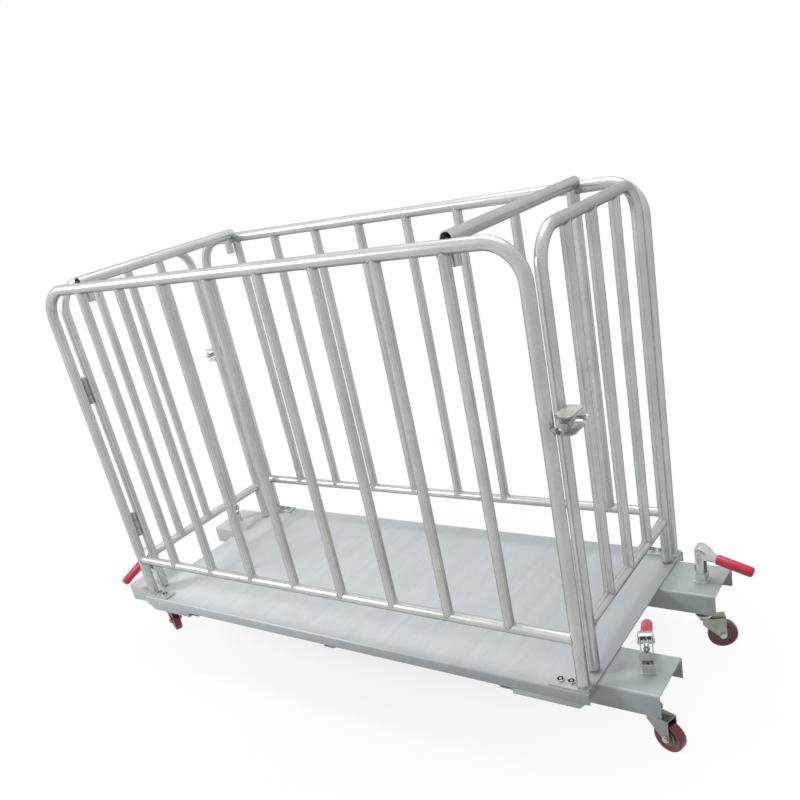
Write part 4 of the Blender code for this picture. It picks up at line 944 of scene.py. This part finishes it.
def make_feet():
    pad = 0.017
    top = 0.2505
    profile = [(0.0, 0.203), (pad - 0.002, 0.203), (pad, 0.2045), (pad, 0.2095), (pad - 0.0015, 0.2125),
               (pad - 0.005, 0.213), (0.0095, 0.2135), (0.0072, 0.2150), (0.0072, top - 0.001), (0.0062, top), (0.0, top)]
    work = Work()
    work.add(turned(profile), BRIGHT_ZINC)
    thread = grown(SCREW_THREAD, [(0.0, 0.0, 0.2155)], {"Radius": 0.0071, "Length": 0.034, "Turns": 17.0, "Ridge": 0.0008})
    work.add(thread, BRIGHT_ZINC)
    work.add(rod((0, 0, 0.213), (0, 0, 0.2145), 0.0105, 6), BRIGHT_ZINC)
    for corner, (side_x, side_y, handle, trail) in CORNERS.items():
        place = Matrix.Translation((side_x * FOOT_X, side_y * FOOT_Y, 0.0))
        dressed(work.cast("screw_foot_" + corner, place), "foot_" + corner, "bright_zinc", "levelling_foot_" + corner)


# ---- Side panels and cross tubes

def make_panels():
    """The near panel, and the far one as its half turn."""
    work = Work()
    path = hoop_path(-PANEL_HALF, PANEL_HALF, PLATE_TOP - 0.001, TOP_RAIL_Z, PANEL_BEND)
    work.add(swept([(x, -PANEL_Y, z) for x, z in path], HOOP_RADIUS), TUBE_ZINC)
    work.add(rod((-PANEL_HALF, -PANEL_Y, BOTTOM_RAIL_Z), (PANEL_HALF, -PANEL_Y, BOTTOM_RAIL_Z), RAIL_RADIUS), TUBE_ZINC)
    step = 2 * PANEL_HALF / (PANEL_BARS + 1)
    places = [-PANEL_HALF + step * (index + 1) for index in range(PANEL_BARS)]
    middle = (BOTTOM_RAIL_Z + TOP_RAIL_Z) / 2
    work.add(grown(BAR_ROW, [(0, 0, 0)],
                   {"First": (places[0], -PANEL_Y, middle), "Step": (step, 0, 0), "Count": PANEL_BARS, "Radius": BAR_RADIUS,
                    "Height": TOP_RAIL_Z - BOTTOM_RAIL_Z, "Material": TUBE_ZINC}), TUBE_ZINC)
    welds(work, [(x, -PANEL_Y, BOTTOM_RAIL_Z) for x in places], [(0, 0, 0)] * PANEL_BARS, BAR_RADIUS, RAIL_RADIUS)
    welds(work, [(x, -PANEL_Y, TOP_RAIL_Z) for x in places], [(math.pi, 0, 0)] * PANEL_BARS, BAR_RADIUS, HOOP_RADIUS)
    quarter = math.pi / 2
    welds(work, [(side * PANEL_HALF, -PANEL_Y, BOTTOM_RAIL_Z) for side in (-1, 1)],
          [(0, quarter, 0), (0, -quarter, 0)], RAIL_RADIUS, HOOP_RADIUS)
    welds(work, [(side * PANEL_HALF, -PANEL_Y, PLATE_TOP - 0.5 + 0.0005) for side in (-1, 1)], [(0, 0, 0)] * 2,
          HOOP_RADIUS + 0.001, 0.5, 0.0035, 26.0)
    half = PLATE_WIDTH / 2
    for side in (-1, 1):
        ends = sorted((side * (PANEL_HALF + PLATE_OUTER), side * (PANEL_HALF - PLATE_INNER)))
        outline = rounded((ends[0], -PANEL_Y - half), (ends[1], -PANEL_Y + half), 0.005)
        work.add(sheet([outline], PLATE_THICKNESS, Matrix.Translation((0, 0, PLATE_TOP - PLATE_THICKNESS / 2))), SHEET_ZINC)
    for height in HINGE_HEIGHTS:
        spans = knuckle_spans(height)
        for span in (spans[0], spans[2]):
            knuckle(work, -PANEL_HALF, -HINGE_Y, span[0], span[1], -PANEL_Y + HOOP_RADIUS - 0.001)
        work.add(rod((-PANEL_HALF, -HINGE_Y, spans[0][0] + 0.004), (-PANEL_HALF, -HINGE_Y, spans[2][1] + 0.001), 0.005, 16), BRIGHT_ZINC)
        work.add(rod((-PANEL_HALF, -HINGE_Y, spans[2][1]), (-PANEL_HALF, -HINGE_Y, spans[2][1] + 0.003), 0.007, 20, 0.0009), BRIGHT_ZINC)
    add_keeper(work)
    bolts = Work()
    turns = [(0, 0, 0.4 + 1.3 * index) for index in range(4)]
    spots = [(side * (PANEL_HALF - inset), -PANEL_Y) for side in (-1, 1) for inset in BOLT_INSETS]
    bolts.add(grown(HEX_FIXINGS, [(x, y, PLATE_TOP) for x, y in spots],
                    {"Corner": HEAD_ACROSS / math.sqrt(3), "Height": 0.006, "Washer": 0.0125, "Washer Height": 0.0015,
                     "Shank": 0.0045, "Shank Height": 0.0002}, turns), BRIGHT_ZINC)
    bolts.add(grown(HEX_FIXINGS, [(x, y, SEAT_Z) for x, y in spots],
                    {"Corner": HEAD_ACROSS / math.sqrt(3), "Height": 0.0075, "Washer": 0.0125, "Washer Height": 0.0015,
                     "Shank": 0.006, "Shank Height": 0.003}, [(math.pi, 0, turn[2]) for turn in turns]), BRIGHT_ZINC)
    for side, place in (("near", Matrix.Identity(4)), ("far", HALF_TURN)):
        dressed(work.cast(side + "_cage_panel", place), "deck", "galvanised", side + "_side_panel")
        dressed(bolts.cast(side + "_panel_bolts", place), "deck", "bright_zinc")


def add_keeper(work):
    """The eye on the post that the latch bolt slides into."""
    high = LATCH_END_Y - 0.012
    low = high - 0.018
    eye = [(0.0095, 0.0), (0.0128, 0.0), (0.0136, 0.0008), (0.0136, 0.0172), (0.0128, 0.018), (0.0095, 0.018)]
    work.add(turned(eye, closed=True), WELD_ZINC, Matrix.Translation((LATCH_X, high, LATCH_Z)) @ OVER)
    work.add(block((PANEL_HALF + HOOP_RADIUS - 0.002, low + 0.003, LATCH_Z - 0.004), (LATCH_X - 0.011, high - 0.003, LATCH_Z + 0.004)), WELD_ZINC)


def make_cross_tubes():
    work = Work()
    ends = [(CROSS_TUBE_X, side * CROSS_TUBE_HALF, CROSS_TUBE_Z) for side in (-1, 1)]
    work.add(swept(ends, HOOP_RADIUS, TUBE_WALL), TUBE_ZINC)
    for side in (-1, 1):
        y = side * STUB_Y
        work.add(swept([(CROSS_TUBE_X, y, STUB_FOOT), (CROSS_TUBE_X, y, CROSS_TUBE_Z - HOOP_RADIUS + 0.002)], STUB_RADIUS, TUBE_WALL), TUBE_ZINC)
    welds(work, [(CROSS_TUBE_X, side * STUB_Y, CROSS_TUBE_Z) for side in (-1, 1)],
          [(math.pi, 0, math.pi / 2)] * 2, STUB_RADIUS, HOOP_RADIUS)
    for side, place in (("right", Matrix.Identity(4)), ("left", HALF_TURN)):
        dressed(work.cast(side + "_top_tube", place), "deck", "galvanised", side + "_cross_tube")


# ---- Gates and latches

def make_gates():
    """The right gate, and the left one as its half turn."""
    work = Work()
    path = hoop_path(GATE_LATCH_Y, GATE_HINGE_Y, GATE_FOOT_Z, TOP_RAIL_Z, GATE_BEND)
    work.add(swept([(PANEL_HALF, y, z) for y, z in path], RAIL_RADIUS, TUBE_WALL), TUBE_ZINC)
    work.add(rod((PANEL_HALF, GATE_LATCH_Y, BOTTOM_RAIL_Z), (PANEL_HALF, GATE_HINGE_Y, BOTTOM_RAIL_Z), RAIL_RADIUS), TUBE_ZINC)
    step = (GATE_HINGE_Y - GATE_LATCH_Y) / (GATE_BARS + 1)
    places = [GATE_LATCH_Y + step * (index + 1) for index in range(GATE_BARS)]
    middle = (BOTTOM_RAIL_Z + TOP_RAIL_Z) / 2
    work.add(grown(BAR_ROW, [(0, 0, 0)],
                   {"First": (PANEL_HALF, places[0], middle), "Step": (0, step, 0), "Count": GATE_BARS, "Radius": BAR_RADIUS,
                    "Height": TOP_RAIL_Z - BOTTOM_RAIL_Z, "Material": TUBE_ZINC}), TUBE_ZINC)
    quarter = math.pi / 2
    welds(work, [(PANEL_HALF, y, BOTTOM_RAIL_Z) for y in places], [(0, 0, quarter)] * GATE_BARS, BAR_RADIUS, RAIL_RADIUS)
    welds(work, [(PANEL_HALF, y, TOP_RAIL_Z) for y in places], [(math.pi, 0, quarter)] * GATE_BARS, BAR_RADIUS, RAIL_RADIUS)
    welds(work, [(PANEL_HALF, GATE_LATCH_Y, BOTTOM_RAIL_Z), (PANEL_HALF, GATE_HINGE_Y, BOTTOM_RAIL_Z)],
          [(-quarter, 0, 0), (quarter, 0, 0)], RAIL_RADIUS, RAIL_RADIUS)
    for height in HINGE_HEIGHTS:
        low, high = knuckle_spans(height)[1]
        knuckle(work, PANEL_HALF, HINGE_Y, low, high, GATE_HINGE_Y + RAIL_RADIUS - 0.001)
    add_latch_housing(work)
    for side, place in (("right", Matrix.Identity(4)), ("left", HALF_TURN)):
        dressed(work.cast(side + "_end_gate", place), "gate_" + side, "galvanised", side + "_gate")


def latch_outline():
    inner_x = PANEL_HALF + RAIL_RADIUS * 0.7
    radius = 0.016
    low = arc((LATCH_OUTER_X - radius, LATCH_END_Y + radius), radius, -90, 0, 8)
    high = arc((LATCH_OUTER_X - radius, LATCH_START_Y - radius), radius, 0, 90, 8)
    post_x = PANEL_HALF + HOOP_RADIUS + 0.003
    step_y = -PANEL_Y + HOOP_RADIUS + 0.004
    return low + high + [(inner_x, LATCH_START_Y), (inner_x, step_y), (post_x, step_y), (post_x, LATCH_END_Y)]


def add_latch_housing(work):
    """Two plates on the gate with the latch bolt's sleeve between them."""
    for side in (-1, 1):
        place = Matrix.Translation((0, 0, LATCH_Z + side * LATCH_PLATE_Z))
        work.add(sheet([latch_outline()], LATCH_PLATE, place, 0.0009), LATCH_ZINC)
    low = LATCH_END_Y + 0.008
    sleeve = [(0.0088, 0.0), (0.0120, 0.0), (0.0127, 0.0007), (0.0127, 0.0293), (0.0120, 0.03), (0.0088, 0.03)]
    work.add(turned(sleeve, closed=True), LATCH_ZINC, Matrix.Translation((LATCH_X, low + 0.03, LATCH_Z)) @ OVER)
    for side in (-1, 1):
        ends = sorted((LATCH_Z + side * 0.0122, LATCH_Z + side * LATCH_PLATE_Z))
        work.add(block((LATCH_X - 0.003, low + 0.004, ends[0]), (LATCH_X + 0.003, low + 0.026, ends[1])), SHEET_ZINC)


def make_latch_bolts():
    work = Work()
    nose = LATCH_END_Y + 0.002
    tail = LATCH_START_Y + 0.012
    handle_y = LATCH_START_Y - 0.022
    end_x = LATCH_X + 0.036
    work.add(rod((LATCH_X, nose, LATCH_Z), (LATCH_X, tail, LATCH_Z), 0.008, 24, 0.0014), BRIGHT_ZINC)
    work.add(rod((LATCH_X, handle_y, LATCH_Z), (end_x, handle_y, LATCH_Z), 0.005, 20), BRIGHT_ZINC)
    ball = [(0.009 * math.cos(math.radians(angle)), 0.009 * math.sin(math.radians(angle))) for angle in range(-90, 91, 15)]
    ball[0] = (0.0, -0.009)
    ball[-1] = (0.0, 0.009)
    work.add(turned(ball, 24), BRIGHT_ZINC, Matrix.Translation((end_x - 0.002, handle_y, LATCH_Z)))
    for side, place in (("right", Matrix.Identity(4)), ("left", HALF_TURN)):
        dressed(work.cast(side + "_slide_bolt", place), "latch_" + side, "bright_zinc", side + "_latch_bolt")


# ---- Clamps, in a frame whose handle runs along X

def make_brackets():
    work = Work()
    base = rounded((-0.0225, -0.0215), (0.0225, 0.0215), 0.003)
    middle = CLAMP_BASE_TOP - 0.0025
    work.add(sheet([base, circle((0, 0), 0.0127)], 0.005, Matrix.Translation((0, 0, middle))), PLATED_ZINC)
    foot = CLAMP_BASE_TOP - 0.001
    outline = ([(-CHEEK_RADIUS, foot), (CHEEK_RADIUS, foot)]
               + arc((0.0, CLAMP_TOP - CHEEK_RADIUS), CHEEK_RADIUS, 0, 180, 16))
    for side in (-1, 1):
        faces = sorted((side * CHEEK_INNER, side * (CHEEK_INNER + CHEEK_THICKNESS)))
        work.add(standing([outline, circle((0.0, PIVOT_Z), 0.0059)], faces[0], faces[1]), BRIGHT_ZINC)
        work.add(rod((-0.012, side * 0.0186, CLAMP_BASE_TOP + 0.0003), (0.012, side * 0.0186, CLAMP_BASE_TOP + 0.0003), 0.0016, 10, 0.0007), WELD_ZINC)
    collar = rounded((-0.0178, -0.0200), (0.0178, 0.0200), 0.003)
    work.add(sheet([collar, circle((0, 0), 0.0127)], 0.0285, Matrix.Translation((0, 0, CLAMP_BASE_TOP + 0.01325)), 0.0012), PLATED_ZINC)
    face = rounded((-0.0225, 0.3115), (0.0225, 0.337), 0.003)
    quarter = Matrix.Rotation(math.pi / 2, 4, "Z")
    work.add(standing([face], 0.0135, 0.0160, quarter), PLATED_ZINC)
    screws = [(side_x * 0.0150, side_y * 0.0080, 0.2975) for side_x in (-1, 1) for side_y in (-1, 1)]
    head = {"Corner": 0.0028, "Height": 0.0045, "Washer": 0.0030, "Washer Height": 0.0006, "Shank": 0.0015, "Shank Height": 0.0002}
    work.add(grown(HEX_FIXINGS, screws, head, [(0, 0, 0.3 * index) for index in range(4)]), BRIGHT_ZINC)
    for corner in CORNERS:
        dressed(work.cast("clamp_body_" + corner, clamp_place(corner)), "deck", "bright_zinc", "clamp_bracket_" + corner)


def clamp_place(corner):
    side_x, side_y, handle, trail = CORNERS[corner]
    return Matrix.Translation((side_x * CLAMP_X, side_y * CLAMP_Y, 0.0)) @ Matrix.Rotation(math.radians(handle), 4, "Z")


def castor_place(corner):
    side_x, side_y, handle, trail = CORNERS[corner]
    return Matrix.Translation((side_x * CLAMP_X, side_y * CLAMP_Y, 0.0)) @ Matrix.Rotation(math.radians(trail), 4, "Z")


def crank_outline():
    """A crank plate: an arm down to the crank pin and one to the handle."""
    slope = -math.degrees(SLOPE)
    hub = LEVER_HUB_RADIUS
    tip = LEVER_TIP_RADIUS
    eye = CRANK_EYE_RADIUS
    arm = GRIP_START - tip - LEVER_TIP_SPACE
    end = (arm * math.cos(SLOPE), PIVOT_Z - arm * math.sin(SLOPE))
    arm_side = 90 - math.degrees(math.asin((hub - tip) / arm))
    crank_taper = math.degrees(math.asin((hub - eye) / CRANK))
    middle = math.radians((slope - arm_side - crank_taper) / 2)
    reach = hub / math.cos(math.radians((arm_side - slope - crank_taper) / 2))
    corner = (reach * math.cos(middle), PIVOT_Z + reach * math.sin(middle))
    return (arc(end, tip, slope - arm_side, slope + arm_side, 10)
            + arc((0.0, PIVOT_Z), hub, slope + arm_side, 180 + crank_taper, 10)
            + arc((0.0, PIVOT_Z - CRANK), eye, 180 + crank_taper, 360 - crank_taper, 12) + [corner])


# The saddle's shape at each station along it: the top and foot of its side, as (x, z) from the pivot, and half its width.
SADDLE_STATIONS = [
    ((-0.0128, 0.0262), (-0.0128, -0.0045), 0.0225),
    ((-0.0080, 0.0282), (-0.0080, -0.0060), 0.0225),
    ((-0.0020, 0.0295), (-0.0020, -0.0080), 0.0225),
    ((0.0050, 0.0292), (0.0040, -0.0100), 0.0225),
    ((0.0120, 0.0268), (0.0095, -0.0120), 0.0222),
    ((0.0190, 0.0222), (0.0145, -0.0139), 0.0220),
    ((0.0272, 0.0148), (0.0208, -0.0162), 0.0221),
    ((0.0350, 0.0064), (0.0285, -0.0188), 0.0176),
    ((0.0425, 0.0005), (0.0362, -0.0212), 0.0138),
    ((0.0534, -0.0053), (0.0474, -0.0244), 0.0120),
]
SADDLE_SHEET = 0.0025
SADDLE_CORNER = 0.0045


def handle_saddle():
    """The folded sheet from the pivot to the grip: a cover over the cheeks with an arm down each side."""
    verts = []
    for (top_x, top_z), (foot_x, foot_z), half in SADDLE_STATIONS:
        for inset in (0.0, SADDLE_SHEET):
            side = half - inset
            top = top_z - inset
            corner = SADDLE_CORNER - inset
            bends = arc((-side + corner, top - corner), corner, 180, 90, 3) + arc((side - corner, top - corner), corner, 90, 0, 3)
            verts.append((foot_x, -side, foot_z))
            verts += [(top_x, across, rise) for across, rise in bends]
            verts.append((foot_x, side, foot_z))
    width = len(bends) + 2
    last = len(SADDLE_STATIONS) - 1
    faces = []

    def number(station, shell, place):
        return (station * 2 + shell) * width + place

    for station in range(last):
        for place in range(width - 1):
            for shell in (0, 1):
                faces.append([number(station, shell, place), number(station, shell, place + 1),
                              number(station + 1, shell, place + 1), number(station + 1, shell, place)])
        for place in (0, width - 1):
            faces.append([number(station, 0, place), number(station, 1, place),
                          number(station + 1, 1, place), number(station + 1, 0, place)])
    for station in (0, last):
        for place in range(width - 1):
            faces.append([number(station, 0, place), number(station, 1, place),
                          number(station, 1, place + 1), number(station, 0, place + 1)])
    mesh = bpy.data.meshes.new("saddle")
    mesh.from_pydata(verts, [], faces)
    return eased(plain(mesh), 0.0005)


def make_levers():
    work = Work()
    for side in (-1, 1):
        faces = sorted((side * 0.0035, side * 0.0075))
        work.add(standing([crank_outline()], faces[0], faces[1]), BRIGHT_ZINC)
        work.add(rod((0, side * 0.0220, PIVOT_Z), (0, side * 0.0258, PIVOT_Z), 0.0074, 24, 0.0018), BRIGHT_ZINC)
        work.add(rod((0, side * 0.0078, PIVOT_Z), (0, side * (CHEEK_INNER - 0.0005), PIVOT_Z), 0.0085, 24, 0.0008), BRIGHT_ZINC)
        work.add(rod((0, side * 0.0070, PIVOT_Z - CRANK), (0, side * 0.0095, PIVOT_Z - CRANK), 0.004, 20, 0.0008), BRIGHT_ZINC)
    work.add(rod((0, -0.0225, PIVOT_Z), (0, 0.0225, PIVOT_Z), 0.0055, 24), BRIGHT_ZINC)
    work.add(rod((0, -0.007, PIVOT_Z - CRANK), (0, 0.007, PIVOT_Z - CRANK), 0.0038, 20), BRIGHT_ZINC)
    along = Matrix.Translation((0, 0, PIVOT_Z)) @ Matrix.Rotation(math.pi / 2 + SLOPE, 4, "Y")
    handle = [(0.0, 0.028), (0.0058, 0.028), (0.007, 0.0295), (0.007, 0.165), (0.0, 0.165)]
    work.add(turned(handle, 24), BRIGHT_ZINC, along)
    work.add(handle_saddle(), BRIGHT_ZINC, Matrix.Translation((0, 0, PIVOT_Z)))
    grip = Work()
    radius = GRIP_RADIUS
    profile = [(0.0073, GRIP_START + 0.002), (0.0080, GRIP_START), (radius * 0.80, GRIP_START), (radius * 0.92, GRIP_START + 0.0015),
               (radius, GRIP_START + 0.006), (radius, GRIP_END - 0.016), (radius * 0.985, GRIP_END - 0.010),
               (radius * 0.93, GRIP_END - 0.0055), (radius * 0.82, GRIP_END - 0.0025), (radius * 0.6, GRIP_END - 0.0006), (0.0, GRIP_END)]
    grip.add(turned([(0.0, GRIP_START + 0.002)] + profile, 32), GRIP_RED, along)
    for corner in CORNERS:
        place = clamp_place(corner)
        dressed(work.cast("clamp_handle_" + corner, place), "lever_" + corner, "bright_zinc", "clamp_lever_" + corner)
        dressed(grip.cast("red_grip_" + corner, place), "lever_" + corner, "grip", "clamp_grip_" + corner)


def make_links():
    work = Work()
    high = PIVOT_Z - CRANK
    low = high - LINK
    outline = arc((0.0, high), 0.0075, 0, 180, 12) + arc((0.0, low), 0.0075, 180, 360, 12)
    work.add(standing([outline, circle((0.0, high), 0.0045, 24), circle((0.0, low), 0.0045, 24)], -0.003, 0.003), BRIGHT_ZINC)
    for corner in CORNERS:
        dressed(work.cast("link_bar_" + corner, clamp_place(corner)), "link_" + corner, "bright_zinc", "clamp_link_" + corner)


def cut_by(shape, low, high):
    """The shape with a squared slot cut from it."""
    verts, faces, lays = shape
    mesh = bpy.data.meshes.new("slotted")
    mesh.from_pydata(verts, [], faces)
    obj = bpy.data.objects.new("slotted", mesh)
    bpy.context.scene.collection.objects.link(obj)
    tool_verts, tool_faces, tool_lays = block(low, high, 0.0002)
    tool_mesh = bpy.data.meshes.new("slot")
    tool_mesh.from_pydata(tool_verts, [], tool_faces)
    tool = bpy.data.objects.new("slot", tool_mesh)
    bpy.context.scene.collection.objects.link(tool)
    modifier = obj.modifiers.new("Slot", "BOOLEAN")
    modifier.operation = "DIFFERENCE"
    modifier.solver = "EXACT"
    modifier.object = tool
    result = plain(converted(obj))
    bpy.data.objects.remove(tool, do_unlink=True)
    return result


def make_stems():
    race_foot = 0.1203
    race_top = 0.1303
    flange_top = 0.1363
    profile = [(0.0, 0.1107), (0.0088, 0.1107), (0.01, 0.112), (0.01, 0.1157), (0.0055, 0.1157), (0.0055, race_foot),
               (0.0215, race_foot), (0.022, race_foot + 0.0006), (0.0215, race_foot + 0.0026), (0.0185, race_foot + 0.003),
               (0.0185, race_top - 0.0028), (0.0235, race_top - 0.0024), (0.0245, race_top), (0.0295, race_top),
               (0.03, race_top + 0.0005), (0.03, flange_top - 0.0009), (0.0291, flange_top), (0.015, flange_top + 0.0005),
               (0.0125, flange_top + 0.002), (STEM_RADIUS, flange_top + 0.005), (STEM_RADIUS, 0.301), (0.011, 0.302), (0.0, 0.302)]
    work = Work()
    work.add(cut_by(turned(profile), (-0.03, -0.0034, 0.277), (0.03, 0.0034, 0.32)), BRIGHT_ZINC)
    work.add(grown(BALL_RACE, [(0, 0, 0)], {"Ring": 0.0205, "Ball": 0.0021, "Count": 26}), BRIGHT_ZINC,
             Matrix.Translation((0, 0, race_foot + 0.0052)))
    for corner in CORNERS:
        dressed(work.cast("castor_stem_" + corner, clamp_place(corner)), "stem_" + corner, "bright_zinc", "lift_stem_" + corner)


# ---- Castors, in a frame whose trail runs along X

def make_forks():
    work = Work()
    corner = (FORK_CORNER - FORK_BACK, FORK_OUTER - FORK_CORNER)
    crown = (arc(corner, FORK_CORNER, 90, 180, 6) + arc((corner[0], -corner[1]), FORK_CORNER, 180, 270, 6)
             + [(FORK_REACH, -FORK_OUTER), (FORK_REACH, FORK_OUTER)])
    work.add(sheet([crown, circle((0, 0), 0.0058, 24)], 0.004, Matrix.Translation((0, 0, CROWN_TOP - 0.002)), 0.0012), FORK_ZINC)
    leg = ([(corner[0], CROWN_TOP - 0.001), (corner[0], CROWN_TOP - 0.022)]
           + arc((TRAIL, WHEEL_RADIUS), 0.013, 10, -170, 20)[::-1]
           + [(FORK_REACH, FORK_EDGE_Z), (FORK_REACH, CROWN_TOP - 0.001)])
    for side in (-1, 1):
        faces = sorted((side * FORK_INNER, side * FORK_OUTER))
        work.add(standing([leg, circle((TRAIL, WHEEL_RADIUS), 0.0058, 24)], faces[0], faces[1], ease=0.0009), FORK_ZINC)
    fixings = Work()
    seat = FORK_OUTER + 0.0003
    middle = Matrix.Translation((TRAIL, 0.0, WHEEL_RADIUS))
    out = Matrix.Rotation(math.pi / 2, 4, "X")
    head = {"Corner": 0.0105, "Height": 0.0052, "Washer": 0.0112, "Washer Height": 0.0008, "Shank": 0.0040, "Shank Height": 0.0003}
    fixings.add(moved(grown(HEX_FIXINGS, [(0, 0, 0)], head), middle @ out @ Matrix.Translation((0, 0, seat))), BRIGHT_ZINC)
    nut = {"Corner": 0.0105, "Height": 0.0062, "Washer": 0.0112, "Washer Height": 0.0008, "Shank": 0.0055, "Shank Height": 0.0018}
    back = Matrix.Rotation(-math.pi / 2, 4, "X")
    fixings.add(moved(grown(HEX_FIXINGS, [(0, 0, 0)], nut), middle @ back @ Matrix.Translation((0, 0, seat))), BRIGHT_ZINC)
    fixings.add(rod((TRAIL, -seat, WHEEL_RADIUS), (TRAIL, seat, WHEEL_RADIUS), 0.0055, 20), BRIGHT_ZINC)
    for corner in CORNERS:
        place = castor_place(corner)
        dressed(work.cast("castor_fork_" + corner, place), "fork_" + corner, "bright_zinc", "caster_fork_" + corner)
        dressed(fixings.cast("axle_bolt_" + corner, place), "fork_" + corner, "bright_zinc", "caster_axle_" + corner)


def make_wheels():
    half = WHEEL_HALF
    hub = [(0.0059, half + 0.001), (0.0135, half + 0.001), (0.0145, half), (0.0152, half * 0.62), (0.0185, half * 0.55),
           (0.0205, half * 0.6), (0.0212, half * 0.84), (0.0220, half * 0.9), (0.0250, half * 0.9), (0.0256, half * 0.84), (0.0260, 0.0)]
    tread = [(0.0255, half * 0.66), (0.0275, half * 0.62), (0.0310, half * 0.66), (0.0345, half * 0.78), (0.0375, half * 0.93),
             (0.0400, half * 0.985), (0.0425, half), (0.0455, half * 0.975), (0.0478, half * 0.90),
             (0.0492, half * 0.76), (0.0499, half * 0.5), (0.05, 0.0)]
    work = Work()
    upright = Matrix.Translation((TRAIL, 0.0, WHEEL_RADIUS)) @ OVER

    def both_sides(profile):
        return [(radius, -height) for radius, height in profile] + [(radius, height) for radius, height in reversed(profile[:-1])]

    work.add(turned(both_sides(hub), 48, closed=True), HUB_GREY, upright)
    work.add(turned(both_sides(tread), 64, closed=True), TREAD_RED, upright)
    for corner in CORNERS:
        dressed(work.cast("castor_wheel_" + corner, castor_place(corner)), "wheel_" + corner, "wheel_tread", "caster_wheel_" + corner)


# ---- Room

def light_path_share(tree):
    """One for the rays that see the surroundings: from the camera, from gloss and through glass."""
    path = put(tree, "ShaderNodeLightPath").outputs
    seen = maths(tree, "MAXIMUM", path["Is Camera Ray"], path["Is Glossy Ray"])
    return maths(tree, "MAXIMUM", seen, path["Is Transmission Ray"])


def make_floor():
    mesh = bpy.data.meshes.new("floor")
    reach = 60.0
    mesh.from_pydata([(-reach, -reach, 0), (reach, -reach, 0), (reach, reach, 0), (-reach, reach, 0)], [], [(0, 1, 2, 3)])
    material = bpy.data.materials.new("pale_floor")
    material.use_nodes = True
    tree = material.node_tree
    tree.nodes.remove(tree.nodes["Principled BSDF"])
    seen = light_path_share(tree)
    tint = blended(tree, seen, (0.26, 0.26, 0.26, 1.0), (1.0, 1.0, 1.0, 1.0))
    matt = put(tree, "ShaderNodeBsdfDiffuse", {"Color": tint})
    white = put(tree, "ShaderNodeEmission", {"Color": (1, 1, 1, 1), "Strength": 1.0})
    place = put(tree, "ShaderNodeSeparateXYZ", {0: put(tree, "ShaderNodeTexCoord").outputs["Object"]})
    long_way = maths(tree, "DIVIDE", place.outputs[0], 1.25)
    distance = maths(tree, "SQRT", maths(tree, "ADD", maths(tree, "MULTIPLY", long_way, long_way),
                                         maths(tree, "MULTIPLY", place.outputs[1], place.outputs[1])))
    away = put(tree, "ShaderNodeMapRange", {0: distance, 1: 0.2, 2: 1.3, 3: 0.82, 4: 1.0}, interpolation_type="SMOOTHSTEP").outputs[0]
    share = maths(tree, "MULTIPLY", seen, away)
    mix = put(tree, "ShaderNodeMixShader", {0: share, 1: matt.outputs[0], 2: white.outputs[0]})
    tree.links.new(mix.outputs[0], tree.nodes["Material Output"].inputs["Surface"])
    mesh.materials.append(material)
    floor = bpy.data.objects.new("floor", mesh)
    bpy.context.scene.collection.objects.link(floor)


def make_world():
    world = bpy.data.worlds.new("surroundings")
    bpy.context.scene.world = world
    world.use_nodes = True
    tree = world.node_tree
    strength = ramped(tree, light_path_share(tree), 0.0, 1.0, 0.25, 1.0)
    background = tree.nodes["Background"]
    background.inputs["Color"].default_value = (1, 1, 1, 1)
    tree.links.new(strength, background.inputs["Strength"])


def make_lamp(name, place, aim, size, power):
    lamp = bpy.data.lights.new(name, "AREA")
    lamp.shape = "DISK"
    lamp.size = size
    lamp.energy = power
    obj = bpy.data.objects.new(name, lamp)
    obj.matrix_world = Matrix.Translation(place) @ (Vector(aim) - Vector(place)).to_track_quat("-Z", "Y").to_matrix().to_4x4()
    bpy.context.scene.collection.objects.link(obj)


bpy.context.scene.view_settings.view_transform = "Standard"
make_floor()
make_world()
make_lamp("overhead", (0.2, 0.6, 4.8), (0.0, 0.0, 0.5), 2.6, 112.0)
make_lamp("left", (-3.6, -3.0, 3.2), (0.0, 0.0, 0.8), 1.8, 155.0)

make_deck()
make_underframe()
make_outriggers()
make_housings()
make_feet()
make_panels()
make_cross_tubes()
make_gates()
make_latch_bolts()
make_brackets()
make_levers()
make_links()
make_stems()
make_forks()
make_wheels()
